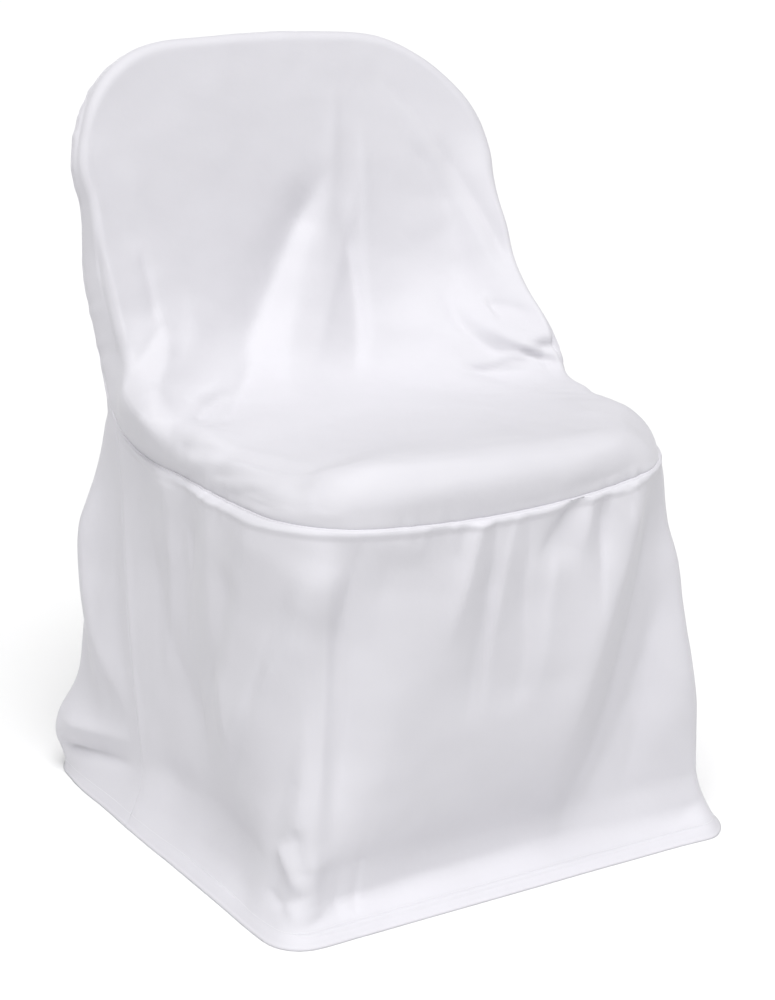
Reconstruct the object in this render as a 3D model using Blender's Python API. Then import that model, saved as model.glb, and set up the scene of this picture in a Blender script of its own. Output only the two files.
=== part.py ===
"""Fitted cloth cover for a round-backed folding chair, as it hangs over the chair.

The cover is sewn from three pieces of plain polyester cloth. The front panel lies on
the chair's back and seat and turns down round their edges. The skirt hangs from the
front panel's edge to the floor, round the front and both sides. The back panel hangs
behind, from the round top to the floor. The chair itself isn't part of the object.

Axes: X across, to the right of someone facing the cover's front, -Y towards the front,
Z up. The origin is on the floor, at the middle of the cover's box. Sizes are in metres.
"""

import math

import bmesh
import bpy
import numpy as np

# The cloth, and the gap that parts two pieces at a seam.
CLOTH_THICKNESS = 0.002
SEAM_GAP = 0.0004

# The front panel's centre line runs from the top down the back and out along the seat.
# Each row: distance along it, and the cloth's angle from straight down.
TOP_Y = 0.234
TOP_Z = 0.749
CENTRE_LINE = (
    # distance, degrees
    (0.000, 13.5),
    (0.120, 14.0),
    (0.230, 16.5),
    (0.300, 32.0),
    (0.360, 68.0),
    (0.410, 86.0),
    (0.470, 90.0),
    (0.655, 92.0),
)

# The flat part of the front panel, and its edge that turns down to the seam.
# Each row: distance down the centre line, half width, radius of the bend, drop.
EDGES = (
    # distance, half width, bend, drop
    (0.000, 0.224, 0.012, 0.022),
    (0.090, 0.2215, 0.012, 0.022),
    (0.160, 0.2165, 0.012, 0.028),
    (0.220, 0.2175, 0.012, 0.038),
    (0.280, 0.211, 0.012, 0.047),
    (0.340, 0.206, 0.014, 0.053),
    (0.430, 0.197, 0.020, 0.041),
    (0.550, 0.189, 0.027, 0.041),
    (0.655, 0.182, 0.034, 0.043),
)
LINE_LENGTH = 0.655
SHOULDER_RADIUS = 0.1235
TOP_CROWN = 0.004
FRONT_CORNER_RADIUS = 0.055
FRONT_BOW = 0.010
BACK_HOLLOW = 0.010
FRONT_SEAM_SAG = 0.010
SEAM_TILT = 0.006

# How far down the centre line front panel, back panel and skirt meet.
MEETING = 0.335

# The skirt's line on the floor without its flared hem, the hem's flare and its height.
FLOOR_FRONT_HALF_WIDTH = 0.231
FLOOR_REAR_HALF_WIDTH = 0.236
FLOOR_FRONT_Y = -0.209
FLOOR_FRONT_CORNER = 0.014
REAR_SEAM_FLOOR_Y = 0.085
HEM_FLARE = 0.028
HEM_HEIGHT = 0.060
SKIRT_BULGE = 0.008

# The back panel's rounded edge at the pocket seam, how far its middle stands out, and
# its lower part, which runs on along the sides and turns round two rear corners.
BACK_EDGE_RADIUS = 0.012
BACK_BOW = 0.045
BACK_LINE = (
    # height, y behind the corners, corner radius
    (0.000, 0.266, 0.024),
    (0.080, 0.254, 0.028),
    (0.170, 0.247, 0.032),
    (0.260, 0.238, 0.034),
    (0.345, 0.221, 0.034),
    (0.400, 0.209, 0.030),
    (0.460, 0.205, 0.020),
    (0.540, 0.222, 0.012),
)
BACK_MARGIN = 0.030

# Places where the whole cover is drawn in or pushed out, whichever piece lies there.
# Each row: the middle of the place, its half size, and the push, all as x, y, z.
SWELLS = (
    # x, y, z, half x, half y, half z, push x, push y, push z
    (0.230, 0.160, 0.567, 0.090, 0.090, 0.054, 0.004, -0.038, 0.000),
    (0.230, 0.080, 0.466, 0.100, 0.100, 0.066, 0.007, -0.166, 0.006),
    (-0.240, 0.200, 0.609, 0.050, 0.090, 0.070, 0.003, 0.000, 0.000),
    (-0.230, 0.160, 0.390, 0.050, 0.060, 0.040, -0.005, 0.000, 0.000),
    (0.215, -0.200, 0.440, 0.060, 0.070, 0.032, -0.035, 0.027, -0.012),
    (-0.215, -0.200, 0.440, 0.060, 0.070, 0.032, 0.012, 0.012, -0.004),
    (0.215, -0.190, 0.400, 0.060, 0.060, 0.050, -0.015, 0.004, 0.000),
    (0.250, -0.215, 0.129, 0.060, 0.060, 0.060, 0.006, 0.000, 0.000),
    (-0.240, -0.210, 0.230, 0.080, 0.080, 0.150, 0.010, 0.000, 0.000),
    (-0.255, 0.270, 0.053, 0.070, 0.090, 0.038, -0.033, 0.008, 0.000),
    (-0.265, 0.290, 0.000, 0.060, 0.080, 0.026, 0.010, -0.006, 0.000),
    (0.260, -0.240, 0.000, 0.050, 0.050, 0.030, -0.013, -0.004, 0.000),
    (0.160, 0.250, 0.730, 0.090, 0.100, 0.065, -0.014, 0.000, 0.001),
    (-0.200, 0.250, 0.730, 0.070, 0.100, 0.050, 0.000, 0.000, 0.003),
)

# Folds of each piece, along a path in the piece's own places with a start, a bending
# point and an end. Each row: the path, half width, and height, negative in a hollow.
# On the front panel the places are x and the distance down the centre line: the two
# long folds of the back and what lies beside them, the pull from the left seat corner,
# the cloth that bridges back and seat on the right, and the seat's front edge.
FRONT_FOLDS = (
    # x, down, bend x, bend down, end x, end down, half width, height
    (0.053, 0.053, 0.037, 0.151, -0.022, 0.299, 0.015, 0.0055),
    (0.070, 0.079, 0.059, 0.206, -0.042, 0.384, 0.014, -0.0070),
    (0.119, 0.021, 0.169, 0.089, 0.221, 0.277, 0.016, 0.0060),
    (0.147, 0.084, 0.164, 0.153, 0.196, 0.226, 0.014, -0.0050),
    (-0.205, 0.144, -0.189, 0.236, -0.205, 0.345, 0.012, 0.0050),
    (-0.180, 0.246, -0.172, 0.291, -0.190, 0.345, 0.011, 0.0040),
    (0.030, 0.165, 0.000, 0.252, -0.070, 0.369, 0.034, 0.0060),
    (-0.067, 0.165, -0.109, 0.266, -0.147, 0.362, 0.032, -0.0060),
    (-0.190, 0.392, -0.159, 0.377, -0.127, 0.354, 0.011, -0.0050),
    (0.140, 0.275, 0.149, 0.334, 0.205, 0.382, 0.015, -0.0050),
    (0.150, 0.262, 0.182, 0.295, 0.214, 0.325, 0.020, 0.0040),
    (-0.200, 0.386, -0.180, 0.489, -0.165, 0.621, 0.013, 0.0040),
    (-0.178, 0.648, -0.041, 0.670, 0.140, 0.656, 0.014, 0.0040),
    (-0.157, 0.620, -0.024, 0.629, 0.127, 0.626, 0.018, -0.0040),
)
# On the skirt they are the way along the floor from the left rear seam, and the height:
# the left front corner and its foot, the gathers under the front seam, the long pull
# that starts at the right front corner, and the left side.
SKIRT_FOLDS = (
    # along, height, bend along, bend height, end along, end height, half width, rise
    (0.296, 0.368, 0.301, 0.221, 0.301, 0.017, 0.016, 0.0060),
    (0.281, 0.364, 0.276, 0.247, 0.170, 0.085, 0.015, -0.0080),
    (0.322, 0.367, 0.326, 0.297, 0.326, 0.196, 0.014, -0.0040),
    (0.252, 0.086, 0.272, 0.047, 0.292, 0.009, 0.012, 0.0070),
    (0.292, 0.110, 0.296, 0.064, 0.306, 0.030, 0.011, -0.0070),
    (0.473, 0.390, 0.468, 0.287, 0.448, 0.186, 0.012, -0.0080),
    (0.497, 0.390, 0.490, 0.300, 0.476, 0.200, 0.012, 0.0040),
    (0.625, 0.390, 0.615, 0.353, 0.592, 0.290, 0.011, -0.0060),
    (0.560, 0.390, 0.556, 0.350, 0.540, 0.300, 0.011, -0.0050),
    (0.722, 0.373, 0.661, 0.250, 0.554, 0.056, 0.018, -0.0100),
    (0.752, 0.346, 0.706, 0.209, 0.630, 0.043, 0.020, 0.0070),
    (0.073, 0.363, 0.082, 0.247, 0.092, 0.154, 0.014, 0.0050),
    (0.131, 0.359, 0.136, 0.246, 0.175, 0.094, 0.018, -0.0070),
    (0.228, 0.363, 0.233, 0.272, 0.160, 0.119, 0.024, 0.0050),
    (0.820, 0.330, 0.850, 0.200, 0.870, 0.060, 0.022, -0.0060),
    (0.900, 0.360, 0.925, 0.220, 0.945, 0.070, 0.020, 0.0050),
)
# On the back panel they are the way round from the middle of the back and the height:
# long soft drapes from the round top, the cloth that wraps round the left rear corner
# and its creased foot.
BACK_FOLDS = (
    # way, height, bend way, bend height, end way, end height, half width, rise
    (-0.120, 0.640, -0.150, 0.380, -0.135, 0.090, 0.026, 0.0080),
    (-0.075, 0.600, -0.085, 0.360, -0.060, 0.060, 0.024, -0.0080),
    (0.010, 0.660, -0.005, 0.380, 0.020, 0.050, 0.028, 0.0070),
    (0.080, 0.620, 0.095, 0.360, 0.085, 0.080, 0.024, -0.0080),
    (0.140, 0.600, 0.165, 0.350, 0.160, 0.060, 0.024, 0.0070),
    (-0.170, 0.400, -0.060, 0.330, 0.070, 0.390, 0.018, -0.0050),
    (-0.230, 0.345, -0.255, 0.191, -0.325, 0.064, 0.016, 0.0050),
    (-0.250, 0.034, -0.317, 0.041, -0.395, 0.052, 0.013, -0.0060),
)

# How far all of it is moved to bring the middle of its box over the origin.
MOVE_X = 0.0002
MOVE_Y = -0.0277

# Rows and columns of the meshes, which pieces share along their seams.
COLUMNS = 30
ROWS_ABOVE = 22
ROWS_BELOW = 20
EDGE_RINGS = 5
BACK_RINGS = 3
SKIRT_ROWS = 20


def unit(vectors):
    return vectors / np.linalg.norm(vectors, axis=-1, keepdims=True)


def dot(first, second):
    return np.sum(first * second, axis=-1, keepdims=True)


def smooth(t):
    """Zero to one, level at both ends."""
    t = np.clip(t, 0.0, 1.0)
    return t * t * (3.0 - 2.0 * t)


def curve(t, table, column):
    """One column of a table, read at t on a smooth curve through its rows."""
    knots = np.array([row[0] for row in table], float)
    values = np.array([row[column] for row in table], float)
    slopes = np.gradient(values, knots)
    t = np.clip(t, knots[0], knots[-1])
    k = np.clip(np.searchsorted(knots, t, side="right") - 1, 0, len(knots) - 2)
    span = knots[k + 1] - knots[k]
    r = (t - knots[k]) / span
    blend = smooth(r)
    level = values[k] * (1.0 - blend) + values[k + 1] * blend
    lean = slopes[k] * (r**3 - 2.0 * r**2 + r) + slopes[k + 1] * (r**3 - r**2)
    return level + span * lean


def folds(a, b, table):
    """Height of the cloth's folds at its places a, b."""
    height = np.zeros_like(a)
    for a0, b0, a1, b1, a2, b2, width, rise in table:
        t = np.linspace(0.0, 1.0, 11)
        path_a = (1 - t) ** 2 * a0 + 2 * t * (1 - t) * a1 + t * t * a2
        path_b = (1 - t) ** 2 * b0 + 2 * t * (1 - t) * b1 + t * t * b2
        nearest = np.full_like(a, 1.0e9)
        place = np.zeros_like(a)
        for k in range(10):
            step_a, step_b = path_a[k + 1] - path_a[k], path_b[k + 1] - path_b[k]
            length = step_a**2 + step_b**2
            r = ((a - path_a[k]) * step_a + (b - path_b[k]) * step_b) / length
            r = np.clip(r, 0.0, 1.0)
            away = (a - path_a[k] - r * step_a) ** 2 + (b - path_b[k] - r * step_b) ** 2
            place = np.where(away < nearest, (k + r) / 10.0, place)
            nearest = np.minimum(nearest, away)
        fade = smooth(place / 0.3) * smooth((1.0 - place) / 0.3)
        height += rise * fade * np.exp(-nearest / width**2)
    return height


def swell(points):
    """The points after the pushes that all pieces share."""
    moved = points.copy()
    for x, y, z, half_x, half_y, half_z, push_x, push_y, push_z in SWELLS:
        away = (points - np.array([x, y, z])) / np.array([half_x, half_y, half_z])
        near = np.exp(-dot(away, away))
        moved += near * np.array([push_x, push_y, push_z])
    return moved


# The front panel where it lies on the chair.


def centre_line():
    """Distance, y, z and angle down the middle of the front panel."""
    step = 0.001
    distance = np.arange(-0.1, LINE_LENGTH + 0.1, step)
    angle = np.radians(curve(distance, CENTRE_LINE, 1))
    y = np.cumsum(-np.sin(angle) * step)
    z = np.cumsum(-np.cos(angle) * step)
    y += TOP_Y - np.interp(0.0, distance, y)
    z += TOP_Z - np.interp(0.0, distance, z)
    return distance, y, z, angle


LINE = centre_line()


def face(s):
    """The way the front panel's outer side looks, at distance s down the line."""
    angle = np.interp(s, LINE[0], LINE[3])
    return np.stack([np.zeros_like(angle), -np.cos(angle), np.sin(angle)], -1)


def lie(flat):
    """The point of the lying cloth for its flat place: x and distance down the line."""
    x, s = flat[..., 0], flat[..., 1]
    y = np.interp(s, LINE[0], LINE[1])
    z = np.interp(s, LINE[0], LINE[2])
    across = np.clip(np.abs(x) / curve(s, EDGES, 1), 0.0, 1.0)
    hollow = BACK_HOLLOW * (1.0 - smooth((s - 0.20) / 0.14)) * (1.0 - across**2.2)
    return np.stack([x, y, z], -1) - face(s) * hollow[..., None]


def half_outline():
    """The flat part's outline from the top's middle round the right side to the front."""
    inner = EDGES[0][1] - SHOULDER_RADIUS
    points = [(x, TOP_CROWN * (x / inner) ** 2) for x in np.linspace(0.0, inner, 12)]
    for turn in np.linspace(0.0, math.pi / 2, 24)[1:]:
        x = inner + SHOULDER_RADIUS * math.sin(turn)
        points.append((x, TOP_CROWN + SHOULDER_RADIUS * (1.0 - math.cos(turn))))
    side_end = LINE_LENGTH - FRONT_CORNER_RADIUS - FRONT_BOW
    for s in np.linspace(points[-1][1], side_end, 60)[1:]:
        points.append((float(curve(s, EDGES, 1)), s))
    corner_x = points[-1][0] - FRONT_CORNER_RADIUS
    for turn in np.linspace(0.0, math.pi / 2, 16)[1:]:
        x = corner_x + FRONT_CORNER_RADIUS * math.cos(turn)
        points.append((x, side_end + FRONT_CORNER_RADIUS * math.sin(turn)))
    for x in np.linspace(corner_x, 0.0, 12)[1:]:
        points.append((x, LINE_LENGTH - FRONT_BOW * (x / corner_x) ** 2))
    return np.array(points)


def whole_outline():
    """The outline as a rounded closed loop, and the distance round it of each point."""
    right = half_outline()
    left = right[::-1][1:-1] * np.array([-1.0, 1.0])
    loop = np.concatenate([right, left, right[:1]])
    at = np.concatenate([[0.0], np.cumsum(np.linalg.norm(np.diff(loop, axis=0), axis=1))])
    even = np.arange(0.0, at[-1], 0.002)
    dense = np.stack([np.interp(even, at, loop[:, k]) for k in (0, 1)], -1)
    for _ in range(60):
        dense = 0.5 * dense + 0.25 * (np.roll(dense, 1, 0) + np.roll(dense, -1, 0))
    loop = np.concatenate([dense, dense[:1]])
    at = np.concatenate([[0.0], np.cumsum(np.linalg.norm(np.diff(loop, axis=0), axis=1))])
    return loop, at


OUTLINE, OUTLINE_AT = whole_outline()
ROUND = OUTLINE_AT[-1]


def outline_point(around):
    """A point of the outline, clockwise from the top's middle as seen from the front."""
    around = np.mod(around, ROUND)
    return np.stack([np.interp(around, OUTLINE_AT, OUTLINE[:, k]) for k in (0, 1)], -1)


def outline_outward(around):
    ahead = unit(outline_point(around + 0.004) - outline_point(around - 0.004))
    return np.stack([ahead[..., 1], -ahead[..., 0]], -1)


def side_around(distance):
    """How far round the outline the right side is that distance down the line."""
    around = np.linspace(0.0, ROUND / 2.0, 4000)
    return float(np.interp(distance, outline_point(around)[:, 1], around))


SHOULDER_AT = side_around(TOP_CROWN + SHOULDER_RADIUS * 0.30)
MEETING_AT = side_around(MEETING)
CORNER_AT = side_around(LINE_LENGTH - FRONT_BOW - FRONT_CORNER_RADIUS * 0.30)


def turned_edge(around, share):
    """The edge that turns down from the outline, share 0, to the seam, share 1."""
    foot, out = outline_point(around), outline_outward(around)
    bend = curve(foot[..., 1], EDGES, 2)
    drop = curve(foot[..., 1], EDGES, 3)
    width = foot[..., 0] / EDGES[-1][1]
    on_seat = smooth((foot[..., 1] - 0.35) / 0.15)
    at_front = smooth((foot[..., 1] - LINE_LENGTH + 0.08) / 0.07)
    drop = drop + FRONT_SEAM_SAG * at_front * np.clip(1.0 - width**2, 0.0, 1.0)
    drop = drop - SEAM_TILT * on_seat * width
    turn = np.clip(share / 0.6, 0.0, 1.0) * math.pi / 2.0
    straight = np.clip((share - 0.6) / 0.4, 0.0, 1.0) * (drop - bend)
    spot = foot + out * (bend * np.sin(turn))[..., None]
    down = bend * (1.0 - np.cos(turn)) + straight
    return lie(spot) - face(foot[..., 1]) * down[..., None]


def seam_frame(around):
    """The edge seam's point, the cloth's outward way and the way off the front panel."""
    point = turned_edge(around, np.ones_like(around))
    ahead = turned_edge(around + 0.004, np.ones_like(around))
    ahead = unit(ahead - turned_edge(around - 0.004, np.ones_like(around)))
    foot, out = outline_point(around), outline_outward(around)
    outward = lie(foot + out * 0.002) - lie(foot)
    outward = unit(outward - ahead * dot(outward, ahead))
    return point, outward, np.cross(outward, ahead)


def along_side(row):
    """How far round the right side each mesh row ends, from shoulder to front corner."""
    rows = (0.0, ROWS_ABOVE, ROWS_ABOVE + ROWS_BELOW)
    return np.interp(row, rows, (SHOULDER_AT, MEETING_AT, CORNER_AT))


def along_top(share):
    return SHOULDER_AT * (2.0 * share - 1.0)


def along_front(share):
    return ROUND / 2.0 + (ROUND / 2.0 - CORNER_AT) * (1.0 - 2.0 * share)


def patch(top, bottom, left, right, u, v):
    """A sheet between four edges: u runs from left to right, v from top to bottom."""
    zero, one = np.zeros_like(u), np.ones_like(u)
    us, vs = u[..., None], v[..., None]
    down = (1 - vs) * top(u) + vs * bottom(u)
    over = (1 - us) * left(v) + us * right(v)
    corners = (1 - vs) * ((1 - us) * top(zero) + us * top(one))
    corners = corners + vs * ((1 - us) * bottom(zero) + us * bottom(one))
    return down + over - corners


def front_panel():
    """Grid points of the front panel, its folds' height and the seam's outward ways."""
    rows = ROWS_ABOVE + ROWS_BELOW
    i, j = np.meshgrid(np.arange(COLUMNS + 1), np.arange(rows + 1), indexing="ij")
    ring = np.minimum(np.minimum(i, COLUMNS - i), np.minimum(j, rows - j))
    inset = np.minimum(ring, EDGE_RINGS)
    u = np.clip((i - EDGE_RINGS) / (COLUMNS - 2 * EDGE_RINGS), 0.0, 1.0)
    v = np.clip((j - EDGE_RINGS) / (rows - 2 * EDGE_RINGS), 0.0, 1.0)
    flat = patch(
        lambda t: outline_point(along_top(t)),
        lambda t: outline_point(along_front(t)),
        lambda t: outline_point(-along_side(t * rows)),
        lambda t: outline_point(along_side(t * rows)),
        u,
        v,
    )
    across = (i - inset) / (COLUMNS - 2 * inset)
    down = (j - inset) / (rows - 2 * inset) * rows
    on_side = np.where(i == inset, -along_side(down), along_side(down))
    around = np.select(
        [j == inset, rows - j == inset],
        [along_top(across), along_front(across)],
        on_side,
    )
    share = 1.0 - inset / EDGE_RINGS
    on_edge = (ring < EDGE_RINGS)[..., None]
    points = np.where(on_edge, turned_edge(around, share), lie(flat))
    foot = outline_point(around)
    reach = curve(foot[..., 1], EDGES, 3) * 1.1 * share
    flat = np.where(on_edge, foot + outline_outward(around) * reach[..., None], flat)
    _, outward, off = seam_frame(around)
    way = np.where(on_edge, outward * np.sin(share * 1.5)[..., None], 0.0)
    way = unit(way + face(flat[..., 1]) * np.cos(share * 1.5)[..., None])
    height = folds(flat[..., 0], flat[..., 1], FRONT_FOLDS) * smooth((1.0 - share) / 0.5)
    points = points + way * height[..., None]
    seam = (ring == 0)[..., None]
    points = np.where(seam, points - off * SEAM_GAP / 2.0, points)
    return points, np.where(seam, outward, np.nan)


# The skirt.


def floor_line():
    """The skirt's line on the floor from its left rear end round the front."""
    radius = FLOOR_FRONT_CORNER
    points = [(FLOOR_REAR_HALF_WIDTH, REAR_SEAM_FLOOR_Y)]
    for turn in np.linspace(0.0, math.pi / 2, 9):
        x = FLOOR_FRONT_HALF_WIDTH - radius + radius * math.cos(turn)
        points.append((x, FLOOR_FRONT_Y + radius - radius * math.sin(turn)))
    points.append((0.0, FLOOR_FRONT_Y))
    right = np.array(points)
    loop = np.concatenate([right * np.array([-1.0, 1.0]), right[:-1][::-1]])
    step = np.linalg.norm(np.diff(loop, axis=0), axis=1)
    return loop, np.concatenate([[0.0], np.cumsum(step)])


FLOOR, FLOOR_AT = floor_line()
FLOOR_LENGTH = FLOOR_AT[-1]


def floor_point(p):
    """The point at distance p along the floor line."""
    x, y = [np.interp(p, FLOOR_AT, FLOOR[:, k]) for k in (0, 1)]
    return np.stack([x, y, np.zeros_like(x)], -1)


def floor_outward(p):
    ahead = floor_point(np.clip(p + 0.008, 0.0, FLOOR_LENGTH))
    ahead = unit(ahead - floor_point(np.clip(p - 0.008, 0.0, FLOOR_LENGTH)))
    return np.stack([ahead[..., 1], -ahead[..., 0], np.zeros_like(p)], -1)


# Mesh columns where the skirt starts, turns its two front corners and ends, with the
# way walked there along the top seam and along the floor.
SKIRT_COLUMNS = 2 * ROWS_BELOW + COLUMNS
SKIRT_STOPS = (
    # column, along the seam, along the floor
    (0, 0.0, 0.0),
    (ROWS_BELOW, CORNER_AT - MEETING_AT, FLOOR_AT[5]),
    (ROWS_BELOW + COLUMNS, ROUND - CORNER_AT - MEETING_AT, FLOOR_LENGTH - FLOOR_AT[5]),
    (SKIRT_COLUMNS, ROUND - 2.0 * MEETING_AT, FLOOR_LENGTH),
)


def skirt_walk(column, along):
    stops = [row[0] for row in SKIRT_STOPS]
    return np.interp(column, stops, [row[along] for row in SKIRT_STOPS])


def skirt_fall(row):
    """Share of the way to the floor at each mesh row, closer together at both ends."""
    rows = (0.0, 3.0, SKIRT_ROWS - 8.0, SKIRT_ROWS)
    return np.interp(row, rows, (0.0, 0.10, 0.72, 1.0))


def flare(z):
    """How far the hem stands out at height z."""
    return HEM_FLARE * np.clip(1.0 - z / HEM_HEIGHT, 0.0, 1.0) ** 1.7


def bare_skirt(column, fall):
    """The skirt's points without folds, and each one's place along the floor."""
    top, _, _ = seam_frame(-MEETING_AT - skirt_walk(column, 1))
    p = skirt_walk(column, 2)
    points = top * (1.0 - fall[..., None]) + floor_point(p) * fall[..., None]
    stand = flare(points[..., 2]) + SKIRT_BULGE * np.sin(math.pi * np.clip(fall, 0, 1))
    return points + floor_outward(p) * stand[..., None], p


def rear_seam_frame(fall, side):
    """The rear seam's point at one side, the outward way and that off the skirt."""
    column = np.full_like(fall, 0.0 if side < 0 else SKIRT_COLUMNS)
    point, p = bare_skirt(column, fall)
    outward = floor_outward(p)
    return point, outward, np.cross(outward, np.array([0.0, 0.0, -side]))


def skirt():
    """Grid points of the skirt, and its seams' outward ways."""
    i, j = np.meshgrid(
        np.arange(SKIRT_COLUMNS + 1.0), np.arange(SKIRT_ROWS + 1.0), indexing="ij"
    )
    fall = skirt_fall(j)
    points, p = bare_skirt(i, fall)
    height = folds(p, points[..., 2], SKIRT_FOLDS)
    height = height * smooth(fall / 0.05) * smooth(np.minimum(p, FLOOR_LENGTH - p) / 0.03)
    points = points + floor_outward(p) * height[..., None]
    _, outward, off = seam_frame(-MEETING_AT - skirt_walk(i, 1))
    seams = np.where((j == 0)[..., None], outward, np.nan)
    gap = np.where((j == 0)[..., None], off * SEAM_GAP / 2.0, 0.0)
    for side, column in ((-1, 0), (1, SKIRT_COLUMNS)):
        _, outward, off = rear_seam_frame(fall[column], side)
        seams[column, 1:] = outward[1:]
        gap[column, 1:] = -off[1:] * SEAM_GAP / 2.0
        gap[column, 0] = (gap[column, 0] - off[0] * SEAM_GAP / 2.0) * 2.0
    return points + gap, seams


# The back panel.


def back_edge(row, ring, side):
    """The back panel's rounded side edge: ring 0 lies on the seam, 1 past the bend."""
    fall = skirt_fall(np.maximum(row - ROWS_ABOVE, 0.0))
    upper = seam_frame(side * along_side(np.minimum(row, ROWS_ABOVE)))
    lower = rear_seam_frame(fall, side)
    below = (row > ROWS_ABOVE)[..., None]
    point, outward, off = [np.where(below, b, a) for a, b in zip(upper, lower)]
    mix = smooth((row - ROWS_ABOVE + 3.0) / 6.0)[..., None]
    off = unit(upper[2] * (1.0 - mix) + lower[2] * mix)
    turn = (ring * math.pi / 2.0)[..., None]
    way = outward * np.cos(turn) + off * np.sin(turn)
    return point + (way - outward) * BACK_EDGE_RADIUS, outward, off


def back_top(share, ring):
    """The back panel's rounded top edge, share from left to right."""
    point, outward, off = seam_frame(along_top(share))
    turn = (ring * math.pi / 2.0)[..., None]
    way = outward * np.cos(turn) + off * np.sin(turn)
    return point + (way - outward) * BACK_EDGE_RADIUS, outward, off


def back_section(row, column):
    """The back panel's lower part, from seam to seam round both rear corners: points,
    outward ways, and places counted from the middle of the back."""
    nought = np.zeros_like(row)
    left, right = [back_edge(row, nought, side)[0] for side in (-1, 1)]
    half = (right[..., 0] - left[..., 0]) / 2.0
    height = left[..., 2]
    stand = flare(height)
    depth = curve(height, BACK_LINE, 1) + stand - left[..., 1]
    radius = np.minimum(curve(height, BACK_LINE, 2) + stand, depth)
    wall = depth - radius
    arc = radius * math.pi / 2.0
    middle = COLUMNS / 2.0
    count = np.minimum(column, COLUMNS - column)
    inner = (count - BACK_RINGS) / (middle - BACK_RINGS)
    along = BACK_MARGIN + inner * (wall + arc + half - radius - BACK_MARGIN)
    along = np.where(inner < 0.0, count / BACK_RINGS * BACK_MARGIN, along)
    turn = np.clip((along - wall) / radius, 0.0, math.pi / 2.0)
    flat = np.maximum(along - wall - arc, 0.0)
    inward = radius * (1.0 - np.cos(turn)) + flat
    back = np.minimum(along, wall) + radius * np.sin(turn)
    side = np.where(column < middle, -1.0, 1.0)
    x = (left[..., 0] + right[..., 0]) / 2.0 + side * (half - inward)
    way = np.stack([side * np.cos(turn), np.sin(turn), nought], -1)
    place = side * (wall + arc + half - radius - along)
    return np.stack([x, left[..., 1] + back, height], -1), way, place


def back_panel():
    """Grid points of the back panel from its right side, and its seams' outward ways."""
    rows = ROWS_ABOVE + SKIRT_ROWS
    i, j = np.meshgrid(np.arange(COLUMNS + 1.0), np.arange(rows + 1.0), indexing="ij")
    ring = np.minimum(np.minimum(i, COLUMNS - i), j)
    inset = np.minimum(ring, BACK_RINGS)
    u = np.clip((i - BACK_RINGS) / (COLUMNS - 2 * BACK_RINGS), 0.0, 1.0)
    v = np.clip((j - BACK_RINGS) / (rows - BACK_RINGS), 0.0, 1.0)
    feet = [back_edge(np.full(1, float(rows)), np.ones(1), side)[0][0] for side in (-1, 1)]
    sheet = patch(
        lambda t: back_top(t, np.ones_like(t))[0],
        lambda t: feet[0] + (feet[1] - feet[0]) * t[..., None],
        lambda t: back_edge(t * rows, np.ones_like(t), -1)[0],
        lambda t: back_edge(t * rows, np.ones_like(t), 1)[0],
        u,
        v,
    )
    across = (i - inset) / (COLUMNS - 2 * inset)
    down = (j - inset) / (rows - inset) * rows
    depth = inset / BACK_RINGS
    on_left, on_top = (i == inset)[..., None], (j == inset)[..., None]
    edges = zip(
        back_edge(down, depth, -1), back_edge(down, depth, 1), back_top(across, depth)
    )
    edge, outward, off = [
        np.where(on_top, top, np.where(on_left, left, right)) for left, right, top in edges
    ]
    points = np.where((ring < BACK_RINGS)[..., None], edge, sheet)
    section, way, place = back_section(j, i)
    low = smooth((j - ROWS_ABOVE + 9.0) / 11.0)
    place = points[..., 0] * (1.0 - low) + place * low
    low = low[..., None]
    points = points * (1.0 - low) + section * low
    way = way * low + np.array([0.0, 1.0, 0.0]) * (1.0 - low)
    free = smooth(np.minimum(np.minimum(i, COLUMNS - i) / 4.0, j / 6.0))
    bow = BACK_BOW * np.sin(math.pi * v) * (1.0 - (2.0 * u - 1.0) ** 2)
    height = folds(place, points[..., 2], BACK_FOLDS) * free
    points = points + way * height[..., None]
    points[..., 1] += bow
    seam = (ring == 0)[..., None]
    points = np.where(seam, points + off * SEAM_GAP / 2.0, points)
    seams = np.where(seam, outward, np.nan)
    return points[::-1], seams[::-1]


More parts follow.
